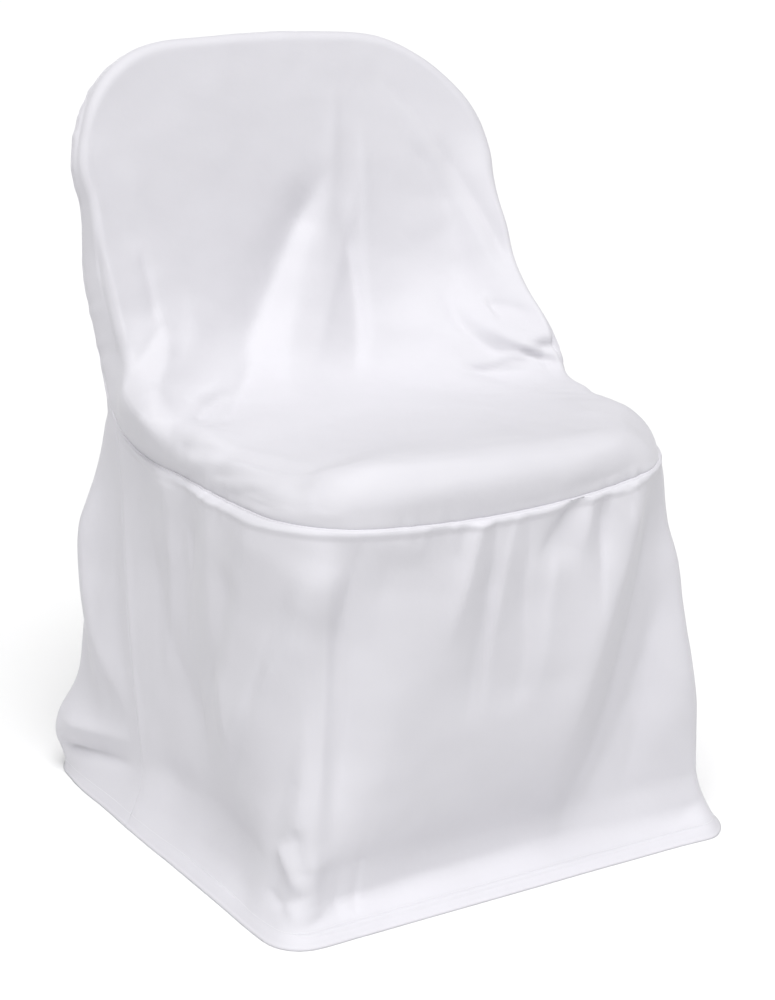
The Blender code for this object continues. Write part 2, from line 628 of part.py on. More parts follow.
def make_sheet(name, grid, colour):
    """A closed sheet of cloth under a grid of outer points."""
    points, seams = grid
    points = swell(points) + np.array([MOVE_X, MOVE_Y, 0.0])
    columns, rows = points.shape[0] - 1, points.shape[1] - 1
    sheet = bmesh.new()
    layers = []
    for _ in range(2):
        made = bmesh.ops.create_grid(sheet, x_segments=columns, y_segments=rows, size=1.0)
        layers.append({})
        for vertex in made["verts"]:
            i = round((vertex.co.x + 1.0) / 2.0 * columns)
            j = round((1.0 - vertex.co.y) / 2.0 * rows)
            layers[-1][i, j] = vertex
            vertex.co = points[i, j]
    outer, inner = layers
    sheet.normal_update()
    for (i, j), vertex in inner.items():
        way = np.array(outer[i, j].normal)
        if not np.isnan(seams[i, j, 0]):
            way = seams[i, j]
        elif points[i, j, 2] < 1.0e-6:
            way = unit(way * np.array([1.0, 1.0, 0.0]))
        vertex.co = points[i, j] - way * CLOTH_THICKNESS
    under = {face for vertex in inner.values() for face in vertex.link_faces}
    bmesh.ops.reverse_faces(sheet, faces=list(under))
    rims = [edge for edge in sheet.edges if edge.is_boundary]
    bmesh.ops.bridge_loops(sheet, edges=rims)
    bmesh.ops.recalc_face_normals(sheet, faces=sheet.faces)
    bmesh.ops.triangulate(sheet, faces=sheet.faces, quad_method="SHORT_EDGE")
    mesh = bpy.data.meshes.new(name)
    sheet.to_mesh(mesh)
    sheet.free()
    cover = bpy.data.objects.new(name, mesh)
    COLLECTION.objects.link(cover)
    material = bpy.data.materials.new(name + "_cloth")
    material.use_nodes = True
    surface = material.node_tree.nodes["Principled BSDF"]
    surface.inputs["Base Color"].default_value = (*colour, 1.0)
    surface.inputs["Roughness"].default_value = 0.75
    surface.inputs["Metallic"].default_value = 0.0
    mesh.materials.append(material)
    return cover


for old in list(bpy.data.objects):
    bpy.data.objects.remove(old, do_unlink=True)
COLLECTION = bpy.data.collections.new("chair_cover")
bpy.context.scene.collection.children.link(COLLECTION)

make_sheet("front_panel", front_panel(), (0.80, 0.80, 0.83))
make_sheet("skirt", skirt(), (0.79, 0.79, 0.82))
make_sheet("back_panel", back_panel(), (0.78, 0.78, 0.81))
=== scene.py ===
"""The look of a fitted white polyester cover on its round-backed folding chair.

The cover's three sewn pieces are dressed one after the other as fine cloth over the
solids of the frame. Sizes are in metres, in the frame's own place.
"""

import math

import bpy
import numpy as np
from mathutils import Matrix, Vector, noise


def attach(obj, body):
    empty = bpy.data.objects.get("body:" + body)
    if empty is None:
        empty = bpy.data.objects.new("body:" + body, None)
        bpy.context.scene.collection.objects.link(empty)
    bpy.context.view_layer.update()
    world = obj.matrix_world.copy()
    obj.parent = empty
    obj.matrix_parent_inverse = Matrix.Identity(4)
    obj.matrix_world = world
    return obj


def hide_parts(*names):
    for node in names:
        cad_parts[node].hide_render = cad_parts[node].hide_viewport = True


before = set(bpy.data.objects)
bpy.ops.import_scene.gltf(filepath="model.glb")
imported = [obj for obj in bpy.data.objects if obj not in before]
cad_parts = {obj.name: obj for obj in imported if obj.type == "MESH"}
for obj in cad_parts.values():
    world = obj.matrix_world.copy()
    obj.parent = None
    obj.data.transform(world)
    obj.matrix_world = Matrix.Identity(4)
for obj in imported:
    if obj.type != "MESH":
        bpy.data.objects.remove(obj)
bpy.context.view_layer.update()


# The front panel is one piece of white polyester cloth. It lies on the chair's back and
# seat, is pulled tight over the round top, bridges the bend between back and seat, and
# turns down all round to a sewn seam.

# Its centre line runs from the top down the back and out along the seat.
TOP_Y = 0.234
TOP_Z = 0.749
CENTRE_LINE = (
    # distance, degrees from straight down
    (0.000, 13.5),
    (0.120, 14.0),
    (0.230, 16.5),
    (0.300, 32.0),
    (0.360, 68.0),
    (0.410, 86.0),
    (0.470, 90.0),
    (0.655, 92.0),
)
EDGES = (
    # distance down the line, half width, radius of the bend, drop to the seam
    (0.000, 0.224, 0.012, 0.022),
    (0.090, 0.2215, 0.012, 0.022),
    (0.160, 0.2165, 0.012, 0.028),
    (0.220, 0.2175, 0.012, 0.038),
    (0.280, 0.211, 0.012, 0.047),
    (0.340, 0.206, 0.014, 0.053),
    (0.430, 0.197, 0.020, 0.041),
    (0.550, 0.189, 0.027, 0.041),
    (0.655, 0.182, 0.034, 0.043),
)
LINE_LENGTH = 0.655
SHOULDER_RADIUS = 0.1235
TOP_CROWN = 0.004
FRONT_CORNER_RADIUS = 0.055
FRONT_BOW = 0.010
BACK_HOLLOW = 0.010
FRONT_SEAM_SAG = 0.010
SEAM_TILT = 0.006
MEETING = 0.335

# Places where the whole cover is drawn in or pushed out, whichever piece lies there.
SWELLS = (
    # x, y, z, half x, half y, half z, push x, push y, push z
    (0.230, 0.160, 0.567, 0.090, 0.090, 0.054, 0.004, -0.038, 0.000),
    (0.230, 0.080, 0.466, 0.100, 0.100, 0.066, 0.007, -0.166, 0.006),
    (-0.240, 0.200, 0.609, 0.050, 0.090, 0.070, 0.003, 0.000, 0.000),
    (-0.230, 0.160, 0.390, 0.050, 0.060, 0.040, -0.005, 0.000, 0.000),
    (0.215, -0.200, 0.440, 0.060, 0.070, 0.032, -0.035, 0.027, -0.012),
    (-0.215, -0.200, 0.440, 0.060, 0.070, 0.032, 0.012, 0.012, -0.004),
    (0.215, -0.190, 0.400, 0.060, 0.060, 0.050, -0.015, 0.004, 0.000),
    (0.250, -0.215, 0.129, 0.060, 0.060, 0.060, 0.006, 0.000, 0.000),
    (-0.240, -0.210, 0.230, 0.080, 0.080, 0.150, 0.010, 0.000, 0.000),
    (-0.255, 0.270, 0.053, 0.070, 0.090, 0.038, -0.033, 0.008, 0.000),
    (-0.265, 0.290, 0.000, 0.060, 0.080, 0.026, 0.010, -0.006, 0.000),
    (0.260, -0.240, 0.000, 0.050, 0.050, 0.030, -0.013, -0.004, 0.000),
    (0.160, 0.250, 0.730, 0.090, 0.100, 0.065, -0.014, 0.000, 0.001),
    (-0.200, 0.250, 0.730, 0.070, 0.100, 0.050, 0.000, 0.000, 0.003),
)
# The same move that brings the middle of the solids over the origin.
MOVE = np.array([0.0002, -0.0277, 0.0])

# The panel's folds, each along a path of three places: x and the distance down the line.
# Most were fitted to the shading seen on the real cover, and then strengthened.
FRONT_FOLDS = (
    # x, down, bend x, bend down, end x, end down, first and last width, lean, height
    # on the back, left of its middle
    (-0.228, 0.169, -0.236, 0.268, -0.235, 0.335, 0.0110, 0.0261, 0.18, -0.0088),
    (-0.226, 0.178, -0.202, 0.266, -0.222, 0.300, 0.0062, 0.0035, -0.39, 0.0028),
    (-0.221, 0.033, -0.240, 0.142, -0.153, 0.231, 0.0217, 0.0174, 0.14, -0.0057),
    (-0.186, 0.097, -0.171, 0.191, -0.134, 0.279, 0.0177, 0.0198, -0.21, 0.0015),
    (-0.179, 0.195, -0.169, 0.245, -0.178, 0.276, 0.0035, 0.0055, 0.37, -0.0028),
    # the long ridges and troughs down the middle of the back
    (0.033, 0.154, 0.003, 0.235, -0.054, 0.306, 0.0221, 0.0204, -0.20, -0.0052),
    (0.052, 0.118, -0.040, 0.256, -0.112, 0.338, 0.0170, 0.0276, 0.39, -0.0112),
    (0.068, 0.042, 0.047, 0.157, -0.013, 0.359, 0.0035, 0.0276, 0.14, 0.0028),
    (0.093, 0.076, 0.072, 0.270, 0.045, 0.347, 0.0036, 0.0294, -0.60, 0.0029),
    (0.095, 0.082, 0.069, 0.220, -0.064, 0.397, 0.0067, 0.0121, 0.16, 0.0017),
    # along the right side of the back
    (0.118, 0.041, 0.189, 0.126, 0.205, 0.299, 0.0143, 0.0184, 0.60, 0.0021),
    (0.141, 0.106, 0.178, 0.160, 0.182, 0.229, 0.0048, 0.0361, -0.31, -0.0038),
    (0.174, 0.122, 0.174, 0.231, 0.164, 0.316, 0.0338, 0.0444, 0.32, -0.0100),
    (0.175, 0.101, 0.208, 0.180, 0.216, 0.257, 0.0105, 0.0076, -0.15, -0.0050),
    (0.232, -0.011, 0.232, 0.089, 0.231, 0.189, 0.0211, 0.0072, 0.36, 0.0058),
    # slack cloth at the left end of the bend between back and seat
    (-0.272, 0.332, -0.241, 0.364, -0.212, 0.414, 0.0211, 0.0224, -0.02, 0.0154),
    (-0.226, 0.383, -0.243, 0.381, -0.255, 0.383, 0.0096, 0.0059, -0.51, 0.0041),
    (-0.222, 0.390, -0.237, 0.399, -0.238, 0.442, 0.0169, 0.0037, 0.60, 0.0029),
    (-0.221, 0.404, -0.244, 0.443, -0.229, 0.467, 0.0105, 0.0057, 0.40, 0.0046),
    (-0.204, 0.406, -0.238, 0.412, -0.255, 0.427, 0.0092, 0.0069, -0.05, 0.0006),
    (-0.197, 0.437, -0.180, 0.444, -0.146, 0.412, 0.0193, 0.0035, 0.05, -0.0015),
    (-0.194, 0.421, -0.168, 0.372, -0.120, 0.363, 0.0098, 0.0064, 0.60, -0.0051),
    (-0.184, 0.432, -0.158, 0.378, -0.126, 0.368, 0.0099, 0.0035, 0.24, 0.0028),
    (-0.180, 0.378, -0.151, 0.360, -0.123, 0.350, 0.0035, 0.0060, 0.18, 0.0028),
    (-0.174, 0.247, -0.154, 0.301, -0.210, 0.357, 0.0035, 0.0161, -0.60, 0.0018),
    (-0.169, 0.270, -0.211, 0.322, -0.248, 0.349, 0.0040, 0.0148, -0.12, -0.0032),
    (-0.167, 0.274, -0.193, 0.340, -0.224, 0.390, 0.0215, 0.0190, 0.26, 0.0087),
    (-0.132, 0.239, -0.127, 0.312, -0.201, 0.350, 0.0151, 0.0259, -0.31, 0.0037),
    (-0.070, 0.300, -0.136, 0.394, -0.194, 0.442, 0.0061, 0.0043, -0.01, -0.0034),
    # the middle of the bend
    (0.042, 0.158, -0.027, 0.259, -0.104, 0.483, 0.0130, 0.0450, -0.40, 0.0088),
    (0.051, 0.161, 0.080, 0.286, -0.007, 0.388, 0.0067, 0.0163, 0.51, -0.0054),
    # the crumpled bridge at the bend's right end
    (0.109, 0.370, 0.183, 0.361, 0.238, 0.350, 0.0145, 0.0295, 0.41, -0.0067),
    (0.125, 0.352, 0.128, 0.379, 0.177, 0.339, 0.0035, 0.0044, -0.35, -0.0020),
    (0.136, 0.261, 0.160, 0.345, 0.228, 0.347, 0.0130, 0.0073, 0.43, -0.0041),
    (0.141, 0.283, 0.143, 0.335, 0.199, 0.356, 0.0076, 0.0179, 0.02, -0.0059),
    (0.145, 0.281, 0.155, 0.324, 0.202, 0.337, 0.0215, 0.0137, 0.52, 0.0056),
    (0.148, 0.290, 0.158, 0.305, 0.217, 0.314, 0.0161, 0.0041, 0.03, 0.0011),
    (0.154, 0.337, 0.183, 0.339, 0.200, 0.351, 0.0035, 0.0213, 0.60, 0.0028),
    (0.177, 0.281, 0.179, 0.278, 0.216, 0.292, 0.0080, 0.0138, 0.33, -0.0046),
    (0.186, 0.324, 0.223, 0.327, 0.224, 0.319, 0.0047, 0.0160, 0.35, -0.0037),
    # pulls along the seat's left edge
    (-0.262, 0.419, -0.224, 0.470, -0.199, 0.593, 0.0035, 0.0051, 0.11, -0.0023),
    (-0.257, 0.421, -0.214, 0.455, -0.197, 0.590, 0.0324, 0.0201, 0.60, 0.0086),
    (-0.248, 0.496, -0.226, 0.544, -0.185, 0.643, 0.0035, 0.0186, 0.60, -0.0028),
    (-0.236, 0.446, -0.234, 0.536, -0.215, 0.639, 0.0086, 0.0067, 0.59, -0.0054),
    (-0.223, 0.454, -0.198, 0.569, -0.182, 0.667, 0.0401, 0.0255, -0.60, -0.0154),
    (-0.223, 0.429, -0.191, 0.515, -0.182, 0.639, 0.0047, 0.0083, 0.02, -0.0038),
    (-0.219, 0.429, -0.220, 0.456, -0.210, 0.491, 0.0092, 0.0070, 0.49, -0.0025),
    (-0.205, 0.459, -0.163, 0.542, -0.169, 0.653, 0.0186, 0.0061, -0.14, 0.0024),
    (-0.196, 0.444, -0.222, 0.566, -0.155, 0.672, 0.0237, 0.0035, -0.45, 0.0028),
    (-0.193, 0.625, -0.202, 0.661, -0.166, 0.673, 0.0151, 0.0065, 0.09, 0.0018),
    # the seat's front edge
    (-0.207, 0.632, -0.063, 0.649, 0.099, 0.627, 0.0246, 0.0316, -0.42, 0.0026),
    (-0.206, 0.636, -0.038, 0.688, 0.165, 0.660, 0.0035, 0.0064, -0.01, 0.0028),
    (-0.170, 0.713, -0.042, 0.687, 0.063, 0.693, 0.0208, 0.0035, -0.60, 0.0028),
    (-0.161, 0.668, 0.001, 0.684, 0.091, 0.672, 0.0071, 0.0035, 0.20, 0.0028),
    (0.029, 0.691, 0.064, 0.676, 0.178, 0.644, 0.0195, 0.0057, 0.39, 0.0046),
    (0.029, 0.705, 0.096, 0.683, 0.175, 0.655, 0.0201, 0.0192, -0.60, -0.0034),
)

# Rows and columns of the cloth's mesh, and the cloth's own thickness.
COLUMNS = 150
ROWS_ABOVE = 96
ROWS_BELOW = 90
EDGE_RINGS = 16
CLOTH = 0.0005

# How round a fold's crest is, the shares of its length where it rises and dies out, and
# the least and most share where it bends.
CREST = 0.35
FOLD_RISES = 0.25
FOLD_DIES = 0.30
FOLD_BEND = (0.05, 0.95)

# Loose cloth's small unevenness: how close its two kinds of waves are, and their heights.
SLACK_WAVES = (13.0, 37.0)
FRONT_SLACK = (0.0016, 0.0005)

# The turned edge: the share of it that bends, its cloth against its drop, how far it turns
# in radians, the share over which folds die out on it, and how wide it counts as.
BENT_SHARE = 0.6
EDGE_CLOTH = 1.1
EDGE_TURN = 1.5
EDGE_FADE = 0.45
EDGE_WIDTH = 0.05
OUTLINE_STEP = 0.004

# The seam's small waves: their counts round the outline, their height and their reach.
PUCKERS = (83.0, 131.0, 9.0)
PUCKER_HEIGHT = 0.0005
PUCKER_REACH = 0.012

# At a seam this panel's edge passes behind the next one and runs on inside as allowance.
SEAM_RADIUS = 0.0005
SEAM_GAP = 0.0003
ALLOWANCE = 0.005
ALLOWANCE_LEAN = 0.4
TUCK = 0.0003


def unit(vectors):
    return vectors / np.linalg.norm(vectors, axis=-1, keepdims=True)


def dot(first, second):
    return np.sum(first * second, axis=-1, keepdims=True)


def smooth(t):
    """Zero to one, level at both ends."""
    t = np.clip(t, 0.0, 1.0)
    return t * t * (3.0 - 2.0 * t)


def curve(t, table, column):
    """One column of a table, read at t on a smooth curve through its rows."""
    knots = np.array([row[0] for row in table], float)
    values = np.array([row[column] for row in table], float)
    slopes = np.gradient(values, knots)
    t = np.clip(t, knots[0], knots[-1])
    k = np.clip(np.searchsorted(knots, t, side="right") - 1, 0, len(knots) - 2)
    span = knots[k + 1] - knots[k]
    r = (t - knots[k]) / span
    blend = smooth(r)
    level = values[k] * (1.0 - blend) + values[k + 1] * blend
    lean = slopes[k] * (r**3 - 2.0 * r**2 + r) + slopes[k + 1] * (r**3 - r**2)
    return level + span * lean


def folds(a, b, table):
    """Height of the cloth's ridges and troughs at its places a, b. Each follows a curve
    over the straight line from its start to its end. Its crest is creased more than
    round, and it is wider on the side that it leans to."""
    height = np.zeros_like(a)
    for a0, b0, a1, b1, a2, b2, first, last, lean, rise in table:
        length = math.hypot(a2 - a0, b2 - b0)
        way_a, way_b = (a2 - a0) / length, (b2 - b0) / length
        along = ((a - a0) * way_a + (b - b0) * way_b) / length
        across = (b - b0) * way_a - (a - a0) * way_b
        bend = ((a1 - a0) * way_a + (b1 - b0) * way_b) / length
        bend = min(max(bend, FOLD_BEND[0]), FOLD_BEND[1])
        stray = (b1 - b0) * way_a - (a1 - a0) * way_b
        along = np.clip(along, 0.0, 1.0)
        t = along / (bend + np.sqrt(bend**2 + (1.0 - 2.0 * bend) * along) + 1.0e-9)
        slope = (1.0 - 2.0 * t) * stray / (length * (bend * (1.0 - 2.0 * t) + t))
        away = (across - 2.0 * t * (1.0 - t) * stray) / np.sqrt(1.0 + slope**2)
        width = (first + (last - first) * t) * (1.0 + lean * np.sign(away))
        fade = smooth(t / FOLD_RISES) * smooth((1.0 - t) / FOLD_DIES)
        profile = np.exp(CREST - np.sqrt((away / width) ** 2 + CREST**2))
        height += rise * fade * profile
    return height


def swell(points):
    """The points after the pushes that all pieces share, in their final place."""
    moved = points.copy()
    for x, y, z, half_x, half_y, half_z, push_x, push_y, push_z in SWELLS:
        away = (points - np.array([x, y, z])) / np.array([half_x, half_y, half_z])
        near = np.exp(-dot(away, away))
        moved += near * np.array([push_x, push_y, push_z])
    return moved + MOVE


def slack(points, coarse, fine):
    """Small unevenness of loose cloth at the points."""
    broad, close = SLACK_WAVES
    height = [
        coarse * noise.noise(Vector(row * broad)) + fine * noise.noise(Vector(row * close))
        for row in points.reshape(-1, 3)
    ]
    return np.array(height).reshape(points.shape[:-1])


def centre_line():
    """Distance, y, z and angle down the middle of the front panel."""
    step = 0.001
    distance = np.arange(-0.1, LINE_LENGTH + 0.1, step)
    angle = np.radians(curve(distance, CENTRE_LINE, 1))
    y = np.cumsum(-np.sin(angle) * step)
    z = np.cumsum(-np.cos(angle) * step)
    y += TOP_Y - np.interp(0.0, distance, y)
    z += TOP_Z - np.interp(0.0, distance, z)
    return distance, y, z, angle


LINE = centre_line()


def face(s):
    """The way the panel's outer side looks, at distance s down the line."""
    angle = np.interp(s, LINE[0], LINE[3])
    return np.stack([np.zeros_like(angle), -np.cos(angle), np.sin(angle)], -1)


def lie(flat):
    """The point of the lying cloth for its flat place: x and distance down the line."""
    x, s = flat[..., 0], flat[..., 1]
    y = np.interp(s, LINE[0], LINE[1])
    z = np.interp(s, LINE[0], LINE[2])
    across = np.clip(np.abs(x) / curve(s, EDGES, 1), 0.0, 1.0)
    hollow = BACK_HOLLOW * (1.0 - smooth((s - 0.20) / 0.14)) * (1.0 - across**2.2)
    return np.stack([x, y, z], -1) - face(s) * hollow[..., None]


def half_outline():
    """The flat part's outline from the top's middle round the right side to the front."""
    inner = EDGES[0][1] - SHOULDER_RADIUS
    points = [(x, TOP_CROWN * (x / inner) ** 2) for x in np.linspace(0.0, inner, 12)]
    for turn in np.linspace(0.0, math.pi / 2, 24)[1:]:
        x = inner + SHOULDER_RADIUS * math.sin(turn)
        points.append((x, TOP_CROWN + SHOULDER_RADIUS * (1.0 - math.cos(turn))))
    side_end = LINE_LENGTH - FRONT_CORNER_RADIUS - FRONT_BOW
    for s in np.linspace(points[-1][1], side_end, 60)[1:]:
        points.append((float(curve(s, EDGES, 1)), s))
    corner_x = points[-1][0] - FRONT_CORNER_RADIUS
    for turn in np.linspace(0.0, math.pi / 2, 16)[1:]:
        x = corner_x + FRONT_CORNER_RADIUS * math.cos(turn)
        points.append((x, side_end + FRONT_CORNER_RADIUS * math.sin(turn)))
    for x in np.linspace(corner_x, 0.0, 12)[1:]:
        points.append((x, LINE_LENGTH - FRONT_BOW * (x / corner_x) ** 2))
    return np.array(points)


def whole_outline():
    """The outline as a rounded closed loop, and the distance round it of each point."""
    right = half_outline()
    left = right[::-1][1:-1] * np.array([-1.0, 1.0])
    loop = np.concatenate([right, left, right[:1]])
    at = np.concatenate([[0.0], np.cumsum(np.linalg.norm(np.diff(loop, axis=0), axis=1))])
    even = np.arange(0.0, at[-1], 0.002)
    dense = np.stack([np.interp(even, at, loop[:, k]) for k in (0, 1)], -1)
    for _ in range(60):
        dense = 0.5 * dense + 0.25 * (np.roll(dense, 1, 0) + np.roll(dense, -1, 0))
    loop = np.concatenate([dense, dense[:1]])
    at = np.concatenate([[0.0], np.cumsum(np.linalg.norm(np.diff(loop, axis=0), axis=1))])
    return loop, at


OUTLINE, OUTLINE_AT = whole_outline()
ROUND = OUTLINE_AT[-1]


def outline_point(around):
    """A point of the outline, clockwise from the top's middle as seen from the front."""
    around = np.mod(around, ROUND)
    return np.stack([np.interp(around, OUTLINE_AT, OUTLINE[:, k]) for k in (0, 1)], -1)


def outline_outward(around):
    ahead = unit(outline_point(around + OUTLINE_STEP) - outline_point(around - OUTLINE_STEP))
    return np.stack([ahead[..., 1], -ahead[..., 0]], -1)


def side_around(distance):
    """How far round the outline the right side is that distance down the line."""
    around = np.linspace(0.0, ROUND / 2.0, 4000)
    return float(np.interp(distance, outline_point(around)[:, 1], around))


SHOULDER_AT = side_around(TOP_CROWN + SHOULDER_RADIUS * 0.30)
MEETING_AT = side_around(MEETING)
CORNER_AT = side_around(LINE_LENGTH - FRONT_BOW - FRONT_CORNER_RADIUS * 0.30)


def pucker(around, away):
    """The sewn seam's small waves, at a distance from it, stronger in some places."""
    turns = 2.0 * math.pi * around / ROUND
    wave = np.sin(turns * PUCKERS[0]) + 0.6 * np.sin(turns * PUCKERS[1] + 1.0)
    wave = wave * (0.55 + 0.45 * np.sin(turns * PUCKERS[2] + 2.0))
    return PUCKER_HEIGHT * wave * np.exp(-((away / PUCKER_REACH) ** 2))


def turned_edge(around, share):
    """The edge that turns down from the outline, share 0, to the seam, share 1."""
    foot, out = outline_point(around), outline_outward(around)
    bend = curve(foot[..., 1], EDGES, 2)
    drop = curve(foot[..., 1], EDGES, 3)
    width = foot[..., 0] / EDGES[-1][1]
    on_seat = smooth((foot[..., 1] - 0.35) / 0.15)
    at_front = smooth((foot[..., 1] - LINE_LENGTH + 0.08) / 0.07)
    drop = drop + FRONT_SEAM_SAG * at_front * np.clip(1.0 - width**2, 0.0, 1.0)
    drop = drop - SEAM_TILT * on_seat * width
    turn = np.clip(share / BENT_SHARE, 0.0, 1.0) * math.pi / 2.0
    straight = np.clip((share - BENT_SHARE) / (1.0 - BENT_SHARE), 0.0, 1.0) * (drop - bend)
    spot = foot + out * (bend * np.sin(turn))[..., None]
    down = bend * (1.0 - np.cos(turn)) + straight
    return lie(spot) - face(foot[..., 1]) * down[..., None]


def seam_frame(around):
    """The edge seam's point, the cloth's outward way and the way off the front panel."""
    point = turned_edge(around, np.ones_like(around))
    ahead = turned_edge(around + OUTLINE_STEP, np.ones_like(around))
    ahead = unit(ahead - turned_edge(around - OUTLINE_STEP, np.ones_like(around)))
    foot, out = outline_point(around), outline_outward(around)
    outward = lie(foot + out * 0.002) - lie(foot)
    outward = unit(outward - ahead * dot(outward, ahead))
    return point, outward, np.cross(outward, ahead)


def along_side(row):
    """How far round the right side each mesh row ends, from shoulder to front corner."""
    rows = (0.0, ROWS_ABOVE, ROWS_ABOVE + ROWS_BELOW)
    return np.interp(row, rows, (SHOULDER_AT, MEETING_AT, CORNER_AT))


def along_top(share):
    return SHOULDER_AT * (2.0 * share - 1.0)


def along_front(share):
    return ROUND / 2.0 + (ROUND / 2.0 - CORNER_AT) * (1.0 - 2.0 * share)


def patch(top, bottom, left, right, u, v):
    """A sheet between four edges: u runs from left to right, v from top to bottom."""
    zero, one = np.zeros_like(u), np.ones_like(u)
    us, vs = u[..., None], v[..., None]
    down = (1 - vs) * top(u) + vs * bottom(u)
    over = (1 - us) * left(v) + us * right(v)
    corners = (1 - vs) * ((1 - us) * top(zero) + us * top(one))
    corners = corners + vs * ((1 - us) * bottom(zero) + us * bottom(one))
    return down + over - corners


def front_panel():
    """The front panel's outer points, their flat places and the seam's two ways."""
    rows = ROWS_ABOVE + ROWS_BELOW
    i, j = np.meshgrid(np.arange(COLUMNS + 1), np.arange(rows + 1), indexing="ij")
    ring = np.minimum(np.minimum(i, COLUMNS - i), np.minimum(j, rows - j))
    inset = np.minimum(ring, EDGE_RINGS)
    u = np.clip((i - EDGE_RINGS) / (COLUMNS - 2 * EDGE_RINGS), 0.0, 1.0)
    v = np.clip((j - EDGE_RINGS) / (rows - 2 * EDGE_RINGS), 0.0, 1.0)
    flat = patch(
        lambda t: outline_point(along_top(t)),
        lambda t: outline_point(along_front(t)),
        lambda t: outline_point(-along_side(t * rows)),
        lambda t: outline_point(along_side(t * rows)),
        u,
        v,
    )
    across = (i - inset) / (COLUMNS - 2 * inset)
    down = (j - inset) / (rows - 2 * inset) * rows
    on_side = np.where(i == inset, -along_side(down), along_side(down))
    around = np.select(
        [j == inset, rows - j == inset],
        [along_top(across), along_front(across)],
        on_side,
    )
    share = 1.0 - inset / EDGE_RINGS
    on_edge = (ring < EDGE_RINGS)[..., None]
    points = np.where(on_edge, turned_edge(around, share), lie(flat))
    foot = outline_point(around)
    reach = curve(foot[..., 1], EDGES, 3) * EDGE_CLOTH * share
    flat = np.where(on_edge, foot + outline_outward(around) * reach[..., None], flat)
    _, outward, off = seam_frame(around)
    way = np.where(on_edge, outward * np.sin(share * EDGE_TURN)[..., None], 0.0)
    way = unit(way + face(flat[..., 1]) * np.cos(share * EDGE_TURN)[..., None])
    height = folds(flat[..., 0], flat[..., 1], FRONT_FOLDS) + slack(points, *FRONT_SLACK)
    points = points + way * (height * smooth((1.0 - share) / EDGE_FADE))[..., None]
    points = points + outward * pucker(around, (1.0 - share) * EDGE_WIDTH)[..., None]
    rim = (ring == 0)[..., None]
    points = points - outward * TUCK * rim
    return points, flat, outward, off


def cloth_mesh(name, points, flat, rims):
    """A panel's mesh: its grid of points, and strips of loops joined on at its rims."""
    columns, rows = points.shape[0] - 1, points.shape[1] - 1
    number = np.arange((columns + 1) * (rows + 1)).reshape(columns + 1, rows + 1)
    corners = [number[:-1, :-1], number[:-1, 1:], number[1:, 1:], number[1:, :-1]]
    quads = [np.stack(corners, -1).reshape(-1, 4)]
    spots, places = [points.reshape(-1, 3)], [flat.reshape(-1, 2)]
    count = number.size
    for rim, loops, closed in rims:
        before = number[rim[:, 0], rim[:, 1]]
        ends = slice(None) if closed else slice(None, -1)
        for loop in loops:
            after = count + np.arange(len(rim))
            strip = [before, np.roll(before, -1), np.roll(after, -1), after]
            quads.append(np.stack(strip, -1)[ends])
            spots.append(loop)
            places.append(flat[rim[:, 0], rim[:, 1]])
            before, count = after, count + len(rim)
    spots, places = np.concatenate(spots), np.concatenate(places)
    quads = np.concatenate(quads)
    mesh = bpy.data.meshes.new(name)
    mesh.from_pydata(spots.tolist(), [], quads.tolist())
    cut = mesh.uv_layers.new(name="cut")
    cut.data.foreach_set("uv", places[quads.reshape(-1)].astype("f").reshape(-1))
    mesh.shade_smooth()
    piece = bpy.data.objects.new(name, mesh)
    bpy.context.scene.collection.objects.link(piece)
    return piece


def thicken(piece):
    """Gives the sheet its thickness towards the inside, as plain mesh."""
    wall = piece.modifiers.new("cloth", "SOLIDIFY")
    wall.thickness = CLOTH
    wall.offset = -1.0
    whole = bpy.data.meshes.new_from_object(
        piece.evaluated_get(bpy.context.evaluated_depsgraph_get())
    )
    piece.modifiers.clear()
    piece.data = whole


# The plain weave's yarns, the cloth's fine crush, and the slow changes of tone that
# bleached cloth has.
YARN_PITCH = 0.00052
YARN_DEPTH = 0.00006
YARN_STRENGTH = 0.25
CRUSH_SCALE = 70.0
CRUSH_DEPTH = 0.0012
CRUSH_STRENGTH = 0.20
CLOUD_SCALE = 9.0
CLOUD_SHADE = 0.965


def surfaced(name, settings):
    """A material with these settings of its surface, and its tree and surface."""
    material = bpy.data.materials.new(name)
    material.use_nodes = True
    surface = material.node_tree.nodes["Principled BSDF"]
    for label, value in settings.items():
        surface.inputs[label].default_value = value
    return material, material.node_tree, surface


def clouds(tree, scale, detail):
    """The height of a noise texture in the piece's own place."""
    place = tree.nodes.new("ShaderNodeTexCoord")
    texture = tree.nodes.new("ShaderNodeTexNoise")
    texture.inputs["Scale"].default_value = scale
    texture.inputs["Detail"].default_value = detail
    tree.links.new(place.outputs["Object"], texture.inputs["Vector"])
    return texture.outputs["Fac"]


def bumped(tree, height, strength, depth):
    bump = tree.nodes.new("ShaderNodeBump")
    bump.inputs["Strength"].default_value = strength
    bump.inputs["Distance"].default_value = depth
    tree.links.new(height, bump.inputs["Height"])
    return bump


def toned(tree, surface, height, tones):
    """Colours the surface between two tones, each given with its place on the height."""
    ramp = tree.nodes.new("ShaderNodeValToRGB")
    for stop, (position, tone) in zip(ramp.color_ramp.elements, tones):
        stop.position = position
        stop.color = (*tone, 1.0)
    tree.links.new(height, ramp.inputs["Fac"])
    tree.links.new(ramp.outputs["Color"], surface.inputs["Base Color"])


def math_node(tree, operation, *sources):
    """A math node over sockets or plain numbers."""
    made = tree.nodes.new("ShaderNodeMath")
    made.operation = operation
    for k, source in enumerate(sources):
        if isinstance(source, float):
            made.inputs[k].default_value = source
        else:
            tree.links.new(source, made.inputs[k])
    return made.outputs[0]


